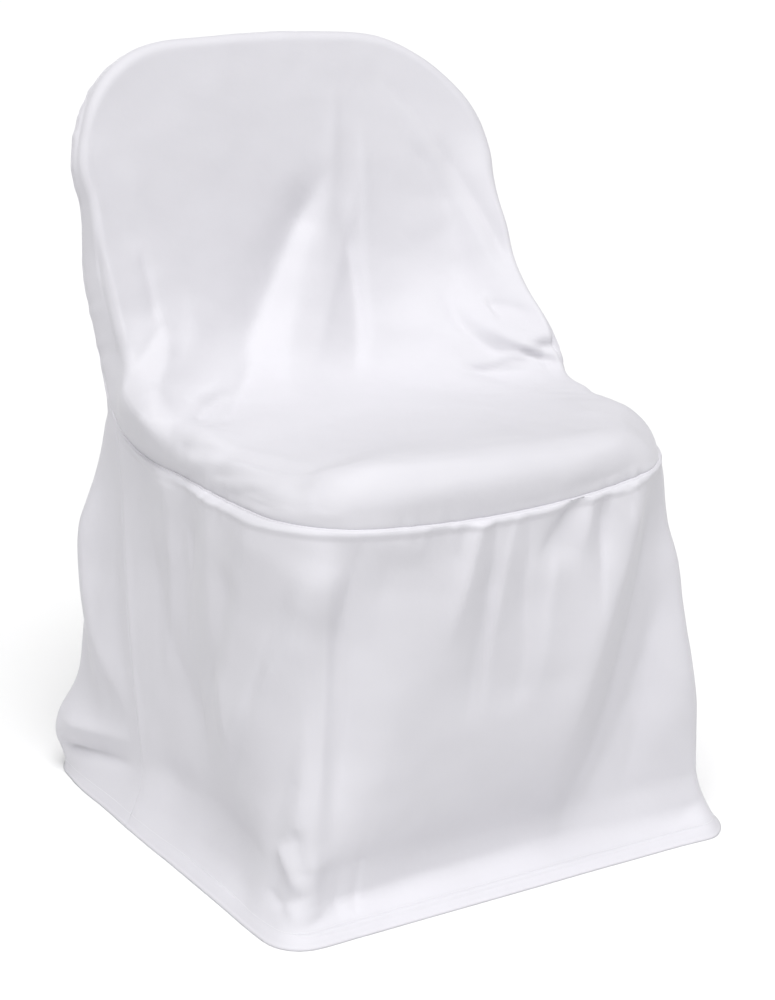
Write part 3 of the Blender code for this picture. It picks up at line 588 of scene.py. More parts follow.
def polyester(name, tone):
    """White polyester of a plain, close weave with a soft, half-matte surface."""
    settings = {
        "Roughness": 0.62,
        "Specular IOR Level": 0.35,
        "Sheen Weight": 0.18,
        "Sheen Roughness": 0.45,
    }
    material, tree, surface = surfaced(name, settings)
    cut = tree.nodes.new("ShaderNodeUVMap")
    cut.uv_map = "cut"
    apart = tree.nodes.new("ShaderNodeSeparateXYZ")
    tree.links.new(cut.outputs["UV"], apart.inputs["Vector"])
    waves = []
    for way in ("X", "Y"):
        turns = math_node(tree, "MULTIPLY", apart.outputs[way], math.pi / YARN_PITCH)
        waves.append(math_node(tree, "SINE", turns))
    weave = math_node(tree, "MULTIPLY", *waves)
    yarns = bumped(tree, weave, YARN_STRENGTH, YARN_DEPTH)
    crush = bumped(tree, clouds(tree, CRUSH_SCALE, 3.0), CRUSH_STRENGTH, CRUSH_DEPTH)
    tree.links.new(yarns.outputs["Normal"], crush.inputs["Normal"])
    tree.links.new(crush.outputs["Normal"], surface.inputs["Normal"])
    shade = [part * CLOUD_SHADE for part in tone]
    toned(tree, surface, clouds(tree, CLOUD_SCALE, 4.0), ((0.30, shade), (0.70, tone)))
    return material


def finish_cloth(piece, node, tone):
    """The steps that every panel of cloth shares once its sheet is laid."""
    thicken(piece)
    piece.data.materials.clear()
    piece.data.materials.append(polyester(node + "_polyester", tone))
    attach(piece, "root")
    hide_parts(node)


points, flat, outward, off = front_panel()
rows = ROWS_ABOVE + ROWS_BELOW
rim = [(i, 0) for i in range(COLUMNS)]
rim += [(COLUMNS, j) for j in range(rows)]
rim += [(i, rows) for i in range(COLUMNS, 0, -1)]
rim += [(0, j) for j in range(rows, 0, -1)]
rim = np.array(rim)
at_rim = (rim[:, 0], rim[:, 1])
loops = [
    points[at_rim] + off[at_rim] * depth - outward[at_rim] * depth * ALLOWANCE_LEAN
    for depth in (ALLOWANCE * 0.2, ALLOWANCE * 0.5, ALLOWANCE)
]
seat_and_back = cloth_mesh(
    "seat_and_back_cloth",
    swell(points),
    flat,
    [(rim, [swell(loop) for loop in loops], True)],
)
finish_cloth(seat_and_back, "front_panel", (0.697, 0.688, 0.728))


# The skirt is one long piece of the same cloth, sewn to the front panel's edge. It hangs
# round the front and both sides to the floor, where its hem is turned up inside and
# stitched, and stands out in a foot.
FLOOR_FRONT_HALF_WIDTH = 0.231
FLOOR_REAR_HALF_WIDTH = 0.236
FLOOR_FRONT_Y = -0.209
FLOOR_FRONT_CORNER = 0.014
REAR_SEAM_FLOOR_Y = 0.085
HEM_FLARE = 0.028
HEM_HEIGHT = 0.060
SKIRT_BULGE = 0.008
SKIRT_ROWS = 130
TOP_EDGE_RADIUS = 0.0016
TOP_EDGE_TAPER = 8.0
HEM_FOLD_RADIUS = 0.0014
HEM_DEPTH = 0.013
STITCH_HEIGHT = 0.0115
GROOVE_DEPTH = 0.0003
GROOVE_WIDTH = 0.0018

# The skirt's length for counting from the seam, the distances over which its folds start
# at the seams, the share of them that its foot keeps, and its unevenness.
SKIRT_DROP = 0.37
START_BELOW_SEAM = 0.006
START_BESIDE_SEAM = 0.012
FOOT_SHARE = 0.12
FOOT_FADE = 0.030
SKIRT_SLACK = (0.0022, 0.0005)

# The roll along the seam: its height at the edge and beyond, where it is full and how it
# ends below and at the sides.
ROLL_HEIGHT = 0.0014
ROLL_RISE = 0.0008
ROLL_FULL = 0.004
ROLL_END = 0.008
ROLL_SIDE = 0.025

# Folds of the skirt: the way along the floor from the left rear seam, and the height.
# Most were fitted to the shading seen on the real cover, and then strengthened.
SKIRT_FOLDS = (
    # along, height, bend along, bend height, end along, end height, widths, lean, rise
    # the left side
    (-0.017, 0.030, -0.017, -0.007, 0.136, 0.014, 0.0035, 0.0135, -0.04, 0.0026),
    (0.005, 0.064, 0.120, 0.066, 0.260, 0.060, 0.0320, 0.0300, 0.00, -0.0100),
    (0.012, 0.414, 0.034, 0.264, 0.029, 0.131, 0.0155, 0.0097, -0.12, -0.0013),
    (0.037, 0.361, 0.046, 0.243, 0.056, 0.125, 0.0134, 0.0104, -0.35, -0.0014),
    (0.043, 0.010, 0.153, 0.005, 0.264, 0.014, 0.0101, 0.0314, -0.24, -0.0076),
    (0.044, 0.311, 0.050, 0.193, 0.131, 0.118, 0.0200, 0.0220, 0.00, -0.0055),
    (0.053, 0.394, 0.103, 0.276, 0.050, 0.158, 0.0312, 0.0037, -0.56, 0.0028),
    (0.067, 0.365, 0.099, 0.349, 0.073, 0.248, 0.0246, 0.0067, 0.14, 0.0050),
    (0.106, 0.328, 0.114, 0.265, 0.115, 0.161, 0.0065, 0.0070, 0.00, 0.0028),
    (0.135, 0.362, 0.080, 0.245, 0.144, 0.050, 0.0200, 0.0450, -0.32, -0.0091),
    (0.158, 0.196, 0.189, 0.158, 0.201, 0.125, 0.0156, 0.0148, -0.04, 0.0017),
    (0.164, 0.387, 0.164, 0.329, 0.177, 0.178, 0.0243, 0.0368, -0.17, 0.0061),
    (0.185, 0.227, 0.213, 0.172, 0.205, 0.135, 0.0164, 0.0051, -0.03, 0.0030),
    (0.214, 0.320, 0.196, 0.244, 0.145, 0.151, 0.0220, 0.0220, 0.00, -0.0050),
    (0.261, 0.396, 0.215, 0.293, 0.174, 0.079, 0.0414, 0.0319, 0.01, 0.0115),
    # the left front corner, with its hooked foot
    (0.278, 0.367, 0.284, 0.268, 0.179, 0.075, 0.0161, 0.0100, -0.19, -0.0050),
    (0.281, 0.327, 0.261, 0.257, 0.219, 0.129, 0.0116, 0.0253, 0.54, -0.0050),
    (0.285, 0.346, 0.276, 0.250, 0.185, 0.123, 0.0200, 0.0220, 0.30, 0.0085),
    (0.294, 0.366, 0.263, 0.203, 0.299, 0.005, 0.0053, 0.0225, -0.42, 0.0040),
    (0.296, 0.356, 0.300, 0.221, 0.300, 0.052, 0.0110, 0.0130, 0.00, 0.0070),
    (0.298, 0.362, 0.296, 0.256, 0.195, 0.126, 0.0321, 0.0238, 0.36, 0.0085),
    (0.303, 0.330, 0.285, 0.195, 0.249, 0.058, 0.0261, 0.0182, 0.04, -0.0115),
    (0.316, 0.370, 0.292, 0.229, 0.300, 0.076, 0.0347, 0.0211, 0.18, -0.0110),
    (0.325, 0.341, 0.326, 0.238, 0.315, 0.052, 0.0110, 0.0130, 0.00, -0.0050),
    (0.327, 0.366, 0.305, 0.325, 0.323, 0.131, 0.0043, 0.0257, -0.46, -0.0032),
    (0.328, 0.362, 0.297, 0.241, 0.324, 0.041, 0.0054, 0.0265, 0.06, -0.0040),
    (0.348, 0.356, 0.342, 0.270, 0.330, 0.095, 0.0180, 0.0260, 0.00, -0.0042),
    # the hook at the corner's foot
    (0.240, 0.071, 0.275, 0.021, 0.292, 0.003, 0.0271, 0.0035, 0.12, 0.0026),
    (0.256, 0.038, 0.278, 0.029, 0.288, 0.017, 0.0060, 0.0060, 0.00, -0.0030),
    (0.266, 0.080, 0.279, 0.070, 0.295, 0.034, 0.0065, 0.0070, 0.20, 0.0050),
    (0.282, 0.033, 0.290, 0.022, 0.296, 0.010, 0.0070, 0.0080, 0.00, 0.0040),
    (0.282, 0.101, 0.286, 0.075, 0.297, 0.043, 0.0050, 0.0055, 0.00, -0.0035),
    (0.303, 0.088, 0.300, 0.028, 0.310, 0.015, 0.0145, 0.0168, -0.35, 0.0055),
    (0.318, 0.030, 0.338, -0.009, 0.352, 0.026, 0.0133, 0.0118, -0.03, -0.0025),
    # the front's gathers
    (0.386, 0.375, 0.400, 0.388, 0.377, 0.323, 0.0035, 0.0334, -0.60, 0.0026),
    (0.433, 0.389, 0.416, 0.374, 0.437, 0.327, 0.0045, 0.0078, -0.36, 0.0020),
    (0.478, 0.387, 0.457, 0.391, 0.421, 0.237, 0.0113, 0.0148, 0.40, 0.0085),
    (0.479, 0.401, 0.478, 0.334, 0.465, 0.159, 0.0126, 0.0035, -0.46, -0.0026),
    (0.510, 0.381, 0.528, 0.365, 0.519, 0.286, 0.0253, 0.0037, -0.43, -0.0028),
    (0.523, 0.385, 0.482, 0.338, 0.472, 0.208, 0.0149, 0.0038, 0.56, 0.0029),
    (0.611, 0.391, 0.603, 0.378, 0.526, 0.309, 0.0111, 0.0215, 0.58, -0.0083),
    (0.617, 0.399, 0.639, 0.367, 0.604, 0.239, 0.0149, 0.0067, -0.48, -0.0050),
    (0.629, 0.400, 0.628, 0.402, 0.583, 0.295, 0.0080, 0.0145, -0.12, 0.0060),
    (0.631, 0.382, 0.620, 0.376, 0.625, 0.344, 0.0036, 0.0042, 0.13, 0.0027),
    (0.658, 0.402, 0.630, 0.362, 0.622, 0.295, 0.0061, 0.0165, 0.14, -0.0046),
    (0.665, 0.380, 0.673, 0.377, 0.658, 0.334, 0.0238, 0.0035, -0.04, -0.0026),
    (0.666, 0.368, 0.666, 0.371, 0.671, 0.313, 0.0037, 0.0144, 0.03, 0.0025),
    # the front's long pulls
    (0.478, 0.338, 0.459, 0.256, 0.450, 0.159, 0.0120, 0.0150, 0.00, -0.0035),
    (0.514, 0.331, 0.521, 0.223, 0.505, 0.170, 0.0088, 0.0206, -0.44, -0.0034),
    (0.564, 0.328, 0.545, 0.289, 0.529, 0.172, 0.0155, 0.0203, 0.51, 0.0039),
    (0.716, 0.398, 0.733, 0.272, 0.527, -0.063, 0.0450, 0.0450, 0.30, -0.0182),
    (0.724, 0.395, 0.738, 0.262, 0.644, 0.022, 0.0394, 0.0088, -0.14, -0.0066),
    (0.731, 0.352, 0.679, 0.259, 0.606, 0.074, 0.0130, 0.0170, 0.00, -0.0040),
    (0.734, 0.280, 0.690, 0.145, 0.583, 0.017, 0.0169, 0.0229, 0.09, -0.0069),
    (0.745, 0.410, 0.594, 0.274, 0.547, 0.054, 0.0337, 0.0402, -0.24, 0.0182),
    (0.749, 0.313, 0.751, 0.239, 0.719, 0.079, 0.0150, 0.0190, 0.00, 0.0040),
    # the front's hem
    (0.237, 0.022, 0.410, -0.005, 0.645, 0.049, 0.0450, 0.0436, 0.01, -0.0177),
    (0.330, 0.054, 0.550, 0.058, 0.800, 0.054, 0.0340, 0.0340, 0.00, -0.0045),
    (0.331, 0.053, 0.550, 0.061, 0.760, 0.056, 0.0122, 0.0120, -0.00, 0.0013),
    (0.523, 0.013, 0.718, -0.005, 0.757, 0.039, 0.0444, 0.0115, -0.37, -0.0086),
    # the right side, which the front view hides
    (0.820, 0.399, 0.850, 0.199, 0.868, 0.059, 0.0119, 0.0245, -0.27, -0.0074),
    (0.870, 0.410, 0.890, 0.260, 0.900, 0.120, 0.0100, 0.0160, -0.00, 0.0052),
    (0.925, 0.420, 0.945, 0.220, 0.965, 0.070, 0.0120, 0.0200, -0.00, -0.0065),
    (0.985, 0.420, 0.990, 0.240, 1.005, 0.090, 0.0120, 0.0180, -0.00, 0.0052),
)


def floor_line():
    """The skirt's line on the floor from its left rear end round the front."""
    radius = FLOOR_FRONT_CORNER
    points = [(FLOOR_REAR_HALF_WIDTH, REAR_SEAM_FLOOR_Y)]
    for turn in np.linspace(0.0, math.pi / 2, 9):
        x = FLOOR_FRONT_HALF_WIDTH - radius + radius * math.cos(turn)
        points.append((x, FLOOR_FRONT_Y + radius - radius * math.sin(turn)))
    points.append((0.0, FLOOR_FRONT_Y))
    right = np.array(points)
    loop = np.concatenate([right * np.array([-1.0, 1.0]), right[:-1][::-1]])
    step = np.linalg.norm(np.diff(loop, axis=0), axis=1)
    return loop, np.concatenate([[0.0], np.cumsum(step)])


FLOOR, FLOOR_AT = floor_line()
FLOOR_LENGTH = FLOOR_AT[-1]


def floor_point(p):
    """The point at distance p along the floor line."""
    x, y = [np.interp(p, FLOOR_AT, FLOOR[:, k]) for k in (0, 1)]
    return np.stack([x, y, np.zeros_like(x)], -1)


def floor_outward(p):
    ahead = floor_point(np.clip(p + 0.016, 0.0, FLOOR_LENGTH))
    ahead = unit(ahead - floor_point(np.clip(p - 0.016, 0.0, FLOOR_LENGTH)))
    return np.stack([ahead[..., 1], -ahead[..., 0], np.zeros_like(p)], -1)


# Mesh columns where the skirt starts, turns its two front corners and ends, with the
# way walked there along the top seam and along the floor.
SKIRT_COLUMNS = 2 * ROWS_BELOW + COLUMNS
SKIRT_STOPS = (
    # column, along the seam, along the floor
    (0, 0.0, 0.0),
    (ROWS_BELOW, CORNER_AT - MEETING_AT, FLOOR_AT[5]),
    (ROWS_BELOW + COLUMNS, ROUND - CORNER_AT - MEETING_AT, FLOOR_LENGTH - FLOOR_AT[5]),
    (SKIRT_COLUMNS, ROUND - 2.0 * MEETING_AT, FLOOR_LENGTH),
)


def skirt_walk(column, along):
    stops = [row[0] for row in SKIRT_STOPS]
    return np.interp(column, stops, [row[along] for row in SKIRT_STOPS])


def skirt_fall(row):
    """Share of the way to the floor at each mesh row, closer together at both ends."""
    rows = (0.0, 12.0, SKIRT_ROWS - 34.0, SKIRT_ROWS)
    return np.interp(row, rows, (0.0, 0.045, 0.80, 1.0))


def flare(z):
    """How far the hem stands out at height z."""
    return HEM_FLARE * np.clip(1.0 - z / HEM_HEIGHT, 0.0, 1.0) ** 1.7


def bare_skirt(column, fall):
    """The skirt's points without folds, and each one's place along the floor."""
    top, _, _ = seam_frame(-MEETING_AT - skirt_walk(column, 1))
    p = skirt_walk(column, 2)
    points = top * (1.0 - fall[..., None]) + floor_point(p) * fall[..., None]
    stand = flare(points[..., 2]) + SKIRT_BULGE * np.sin(math.pi * np.clip(fall, 0, 1))
    return points + floor_outward(p) * stand[..., None], p


def rear_seam_frame(fall, side):
    """The rear seam's point at one side, the outward way and that off the skirt."""
    column = np.full_like(fall, 0.0 if side < 0 else SKIRT_COLUMNS)
    point, p = bare_skirt(column, fall)
    outward = floor_outward(p)
    return point, outward, np.cross(outward, np.array([0.0, 0.0, -side]))


def seam_roll(away):
    """The low roll that the folded edge and the allowance raise beside a seam."""
    height = ROLL_HEIGHT + ROLL_RISE * smooth(away / ROLL_FULL)
    return height * (1.0 - smooth((away - ROLL_FULL) / ROLL_END))


def hem_groove(z):
    """The shallow trough that the hem's stitches pull."""
    return -GROOVE_DEPTH * np.exp(-(((z - STITCH_HEIGHT) / GROOVE_WIDTH) ** 2))


def top_edge_radius(column):
    """The radius of the skirt's folded top edge, which flattens towards its two ends."""
    from_end = np.minimum(column, SKIRT_COLUMNS - column)
    return SEAM_RADIUS + (TOP_EDGE_RADIUS - SEAM_RADIUS) * smooth(from_end / TOP_EDGE_TAPER)


def skirt():
    """The skirt's outer points, their flat places and its seams' two ways."""
    i, j = np.meshgrid(
        np.arange(SKIRT_COLUMNS + 1.0), np.arange(SKIRT_ROWS + 1.0), indexing="ij"
    )
    fall = skirt_fall(j)
    points, p = bare_skirt(i, fall)
    from_seam = fall * SKIRT_DROP
    from_side = np.minimum(p, FLOOR_LENGTH - p)
    height = folds(p, points[..., 2], SKIRT_FOLDS) + slack(points, *SKIRT_SLACK)
    height = height * smooth(from_seam / START_BELOW_SEAM)
    height = height * smooth(from_side / START_BESIDE_SEAM)
    height = height * (FOOT_SHARE + (1.0 - FOOT_SHARE) * smooth(points[..., 2] / FOOT_FADE))
    height += pucker(-MEETING_AT - skirt_walk(i, 1), from_seam)
    height += seam_roll(from_seam) * smooth(from_side / ROLL_SIDE) + hem_groove(points[..., 2])
    flat = np.stack([p, points[..., 2]], -1)
    points = points + floor_outward(p) * height[..., None]
    _, outward, off = seam_frame(-MEETING_AT - skirt_walk(i, 1))
    off = -off
    for side, column in ((-1, 0), (1, SKIRT_COLUMNS)):
        _, side_outward, side_off = rear_seam_frame(fall[column], side)
        outward[column, 1:] = side_outward[1:]
        off[column, 0] = unit(off[column, 0] + side_off[0])
        off[column, 1:] = side_off[1:]
    seam = ((j == 0) | (i == 0) | (i == SKIRT_COLUMNS))[..., None]
    radius = np.where(j == 0, top_edge_radius(i), SEAM_RADIUS)[..., None]
    points = np.where(seam, points - off * (SEAM_GAP / 2.0 + radius), points)
    return points, flat, outward, off


def seam_loops(edge, outward, off, radius):
    """Loops of points that turn a panel's edge in at its seam, and on as allowance."""
    loops = []
    for degrees in (30.0, 60.0, 90.0):
        turn = math.radians(degrees)
        ahead = off * radius * math.sin(turn)
        loops.append(edge + ahead - outward * radius * (1.0 - math.cos(turn)))
    for depth in (ALLOWANCE * 0.1, ALLOWANCE * 0.2):
        loops.append(loops[2] - outward * depth - off * depth)
    return loops


def hem_loops(points, outward):
    """Loops that fold a panel's lowest row up inside, and the raised lowest row."""
    up = unit(points[:, -3] - points[:, -1])
    lowest = points[:, -1] * np.array([1.0, 1.0, 0.0])
    edge = lowest + np.array([0.0, 0.0, HEM_FOLD_RADIUS])
    middle = edge - outward * HEM_FOLD_RADIUS
    loops = []
    for degrees in (45.0, 90.0, 135.0, 180.0):
        turn = math.radians(degrees)
        loop = middle + outward * HEM_FOLD_RADIUS * math.cos(turn)
        loop[:, 2] -= HEM_FOLD_RADIUS * math.sin(turn)
        loops.append(loop)
    for height in (0.25, 0.5, 0.75, 1.0):
        loops.append(loops[3] + up * HEM_DEPTH * height)
    return edge, loops


def rimmed_panel(name, points, flat, outward, off, top_radius):
    """A panel with a hem below and seams on its three other sides."""
    columns, rows = points.shape[0] - 1, points.shape[1] - 1
    edge, hem = hem_loops(points, outward[:, -1])
    points[:, -1] = edge
    seam = [(0, j) for j in range(rows, 0, -1)]
    seam += [(i, 0) for i in range(columns)]
    seam += [(columns, j) for j in range(rows + 1)]
    seam = np.array(seam)
    at_seam = (seam[:, 0], seam[:, 1])
    radius = np.where(seam[:, 1] == 0, top_radius[seam[:, 0]], SEAM_RADIUS)[:, None]
    turned = seam_loops(points[at_seam], outward[at_seam], off[at_seam], radius)
    foot = np.array([(i, rows) for i in range(columns, -1, -1)])
    return cloth_mesh(
        name,
        swell(points),
        flat,
        [
            (seam, [swell(loop) for loop in turned], False),
            (foot, [swell(loop[::-1]) for loop in hem], False),
        ],
    )


points, flat, outward, off = skirt()
outward[:, -1] = floor_outward(skirt_walk(np.arange(SKIRT_COLUMNS + 1.0), 2))
skirt_points = points
top_radius = top_edge_radius(np.arange(SKIRT_COLUMNS + 1.0))
hanging_skirt = rimmed_panel("skirt_cloth", points, flat, outward, off, top_radius)
finish_cloth(hanging_skirt, "skirt", (0.692, 0.683, 0.723))


# The back panel is the third piece of the cloth. It hangs free behind the chair from the
# round top to the floor, wraps round both rear corners to the skirt's side seams and has
# the same hem.
BACK_EDGE_RADIUS = 0.012
BACK_BOW = 0.045
BACK_MARGIN = 0.030
BACK_RINGS = 8
BACK_SLACK = (0.0024, 0.0005)
BACK_PUCKER_WIDTH = 0.02

# The shares of the rows above the seams' meeting over which the upper part's seam frame,
# and its form, pass over to the lower part's: start and length.
FRAME_PASSES = (0.864, 0.273)
FORM_PASSES = (0.59, 0.50)
BACK_LINE = (
    # height, y behind the corners, corner radius
    (0.000, 0.266, 0.024),
    (0.080, 0.254, 0.028),
    (0.170, 0.247, 0.032),
    (0.260, 0.238, 0.034),
    (0.345, 0.221, 0.034),
    (0.400, 0.209, 0.030),
    (0.460, 0.205, 0.020),
    (0.540, 0.222, 0.012),
)

# Folds of the back panel: the way round from the middle of the back, and the height.
BACK_FOLDS = (
    # way, height, bend way, bend height, end way, end height, widths, lean, rise
    # soft drapes below the round top
    (-0.170, 0.400, -0.060, 0.330, 0.070, 0.390, 0.0120, 0.0180, 0.00, -0.0050),
    (-0.120, 0.640, -0.150, 0.380, -0.135, 0.090, 0.0180, 0.0300, 0.00, 0.0080),
    (-0.075, 0.600, -0.085, 0.360, -0.060, 0.060, 0.0160, 0.0280, 0.00, -0.0080),
    (0.010, 0.660, -0.005, 0.380, 0.020, 0.050, 0.0200, 0.0320, 0.00, 0.0070),
    (0.080, 0.620, 0.095, 0.360, 0.085, 0.080, 0.0160, 0.0280, 0.00, -0.0080),
    (0.140, 0.600, 0.165, 0.350, 0.160, 0.060, 0.0160, 0.0280, 0.00, 0.0070),
    (0.190, 0.420, 0.120, 0.370, 0.040, 0.400, 0.0100, 0.0140, 0.00, -0.0035),
    # the cloth that wraps round the left rear corner, and its creased foot
    (-0.294, 0.251, -0.287, 0.166, -0.371, 0.084, 0.0140, 0.0180, 0.00, 0.0070),
    (-0.273, 0.355, -0.299, 0.307, -0.335, 0.219, 0.0110, 0.0140, 0.00, -0.0070),
    (-0.257, 0.400, -0.300, 0.254, -0.358, 0.119, 0.0080, 0.0110, 0.00, -0.0060),
    (-0.250, 0.030, -0.317, 0.041, -0.400, 0.052, 0.0060, 0.0080, 0.00, -0.0080),
    (-0.248, 0.060, -0.307, 0.062, -0.385, 0.080, 0.0100, 0.0090, 0.00, 0.0060),
    (-0.244, 0.336, -0.250, 0.187, -0.362, 0.086, 0.0110, 0.0160, 0.00, 0.0100),
    (-0.232, 0.319, -0.240, 0.168, -0.273, 0.097, 0.0100, 0.0120, 0.00, -0.0030),
    (-0.230, 0.360, -0.255, 0.191, -0.325, 0.064, 0.0100, 0.0150, 0.00, 0.0070),
    # the right rear corner
    (0.235, 0.360, 0.262, 0.200, 0.300, 0.080, 0.0120, 0.0180, 0.00, 0.0060),
    (0.275, 0.400, 0.300, 0.240, 0.340, 0.110, 0.0100, 0.0140, 0.00, -0.0050),
)


def back_edge(row, ring, side):
    """The back panel's rounded side edge: ring 0 lies on the seam, 1 past the bend."""
    fall = skirt_fall(np.maximum(row - ROWS_ABOVE, 0.0))
    upper = seam_frame(side * along_side(np.minimum(row, ROWS_ABOVE)))
    lower = rear_seam_frame(fall, side)
    below = (row > ROWS_ABOVE)[..., None]
    point, outward, off = [np.where(below, b, a) for a, b in zip(upper, lower)]
    mix = smooth((row / ROWS_ABOVE - FRAME_PASSES[0]) / FRAME_PASSES[1])[..., None]
    off = unit(upper[2] * (1.0 - mix) + lower[2] * mix)
    turn = (ring * math.pi / 2.0)[..., None]
    way = outward * np.cos(turn) + off * np.sin(turn)
    return point + (way - outward) * BACK_EDGE_RADIUS, outward, off


def back_top(share, ring):
    """The back panel's rounded top edge, share from left to right."""
    point, outward, off = seam_frame(along_top(share))
    turn = (ring * math.pi / 2.0)[..., None]
    way = outward * np.cos(turn) + off * np.sin(turn)
    return point + (way - outward) * BACK_EDGE_RADIUS, outward, off


def back_section(row, column):
    """The back panel's lower part, from seam to seam round both rear corners: points,
    outward ways, and places counted from the middle of the back."""
    nought = np.zeros_like(row)
    left, right = [back_edge(row, nought, side)[0] for side in (-1, 1)]
    half = (right[..., 0] - left[..., 0]) / 2.0
    height = left[..., 2]
    stand = flare(height)
    depth = curve(height, BACK_LINE, 1) + stand - left[..., 1]
    radius = np.minimum(curve(height, BACK_LINE, 2) + stand, depth)
    wall = depth - radius
    arc = radius * math.pi / 2.0
    middle = COLUMNS / 2.0
    count = np.minimum(column, COLUMNS - column)
    inner = (count - BACK_RINGS) / (middle - BACK_RINGS)
    along = BACK_MARGIN + inner * (wall + arc + half - radius - BACK_MARGIN)
    along = np.where(inner < 0.0, count / BACK_RINGS * BACK_MARGIN, along)
    turn = np.clip((along - wall) / radius, 0.0, math.pi / 2.0)
    flat = np.maximum(along - wall - arc, 0.0)
    inward = radius * (1.0 - np.cos(turn)) + flat
    back = np.minimum(along, wall) + radius * np.sin(turn)
    side = np.where(column < middle, -1.0, 1.0)
    x = (left[..., 0] + right[..., 0]) / 2.0 + side * (half - inward)
    way = np.stack([side * np.cos(turn), np.sin(turn), nought], -1)
    place = side * (wall + arc + half - radius - along)
    return np.stack([x, left[..., 1] + back, height], -1), way, place


def back_panel():
    """The back panel's outer points, their flat places and its seams' two ways."""
    rows = ROWS_ABOVE + SKIRT_ROWS
    i, j = np.meshgrid(np.arange(COLUMNS + 1.0), np.arange(rows + 1.0), indexing="ij")
    ring = np.minimum(np.minimum(i, COLUMNS - i), j)
    inset = np.minimum(ring, BACK_RINGS)
    u = np.clip((i - BACK_RINGS) / (COLUMNS - 2 * BACK_RINGS), 0.0, 1.0)
    v = np.clip((j - BACK_RINGS) / (rows - BACK_RINGS), 0.0, 1.0)
    feet = [back_edge(np.full(1, float(rows)), np.ones(1), side)[0][0] for side in (-1, 1)]
    sheet = patch(
        lambda t: back_top(t, np.ones_like(t))[0],
        lambda t: feet[0] + (feet[1] - feet[0]) * t[..., None],
        lambda t: back_edge(t * rows, np.ones_like(t), -1)[0],
        lambda t: back_edge(t * rows, np.ones_like(t), 1)[0],
        u,
        v,
    )
    across = (i - inset) / (COLUMNS - 2 * inset)
    down = (j - inset) / (rows - inset) * rows
    depth = inset / BACK_RINGS
    on_left, on_top = (i == inset)[..., None], (j == inset)[..., None]
    edges = zip(
        back_edge(down, depth, -1), back_edge(down, depth, 1), back_top(across, depth)
    )
    edge, outward, off = [
        np.where(on_top, top, np.where(on_left, left, right)) for left, right, top in edges
    ]
    points = np.where((ring < BACK_RINGS)[..., None], edge, sheet)
    beside = along_side(np.minimum(down, ROWS_ABOVE)) * np.where(i == inset, -1.0, 1.0)
    beside = np.where(j == inset, along_top(across), beside)
    waves = pucker(beside, depth * BACK_PUCKER_WIDTH) * (down <= ROWS_ABOVE)
    points = points + outward * waves[..., None]
    section, way, place = back_section(j, i)
    low = smooth((j / ROWS_ABOVE - FORM_PASSES[0]) / FORM_PASSES[1])
    place = points[..., 0] * (1.0 - low) + place * low
    low = low[..., None]
    points = points * (1.0 - low) + section * low
    way = way * low + np.array([0.0, 1.0, 0.0]) * (1.0 - low)
    from_side = np.minimum(i, COLUMNS - i) * 30.0 / COLUMNS / 4.0
    free = smooth(np.minimum(from_side, j * 22.0 / ROWS_ABOVE / 6.0))
    bow = BACK_BOW * np.sin(math.pi * v) * (1.0 - (2.0 * u - 1.0) ** 2)
    height = folds(place, points[..., 2], BACK_FOLDS) + slack(points, *BACK_SLACK)
    height = height * free + hem_groove(points[..., 2]) * free
    flat = np.stack([place, points[..., 2]], -1)
    points = points + way * height[..., None]
    points[..., 1] += bow
    points = points + off * (SEAM_GAP / 2.0 + SEAM_RADIUS) * (ring == 0)[..., None]
    outward[:, -1] = way[:, -1]
    return points[::-1], flat[::-1], outward[::-1], -off[::-1]


points, flat, outward, off = back_panel()
back_points = points
top_radius = np.full(points.shape[0], SEAM_RADIUS)
hanging_back = rimmed_panel("back_cloth", points, flat, outward, off, top_radius)
finish_cloth(hanging_back, "back_panel", (0.687, 0.678, 0.718))


# The hem is stitched with white polyester thread, one line of lock stitches all round
# near the top of the turned-up cloth.
STITCH_PITCH = 0.0030
STITCH_SHARE = 0.40
THREAD_RADIUS = 0.00016


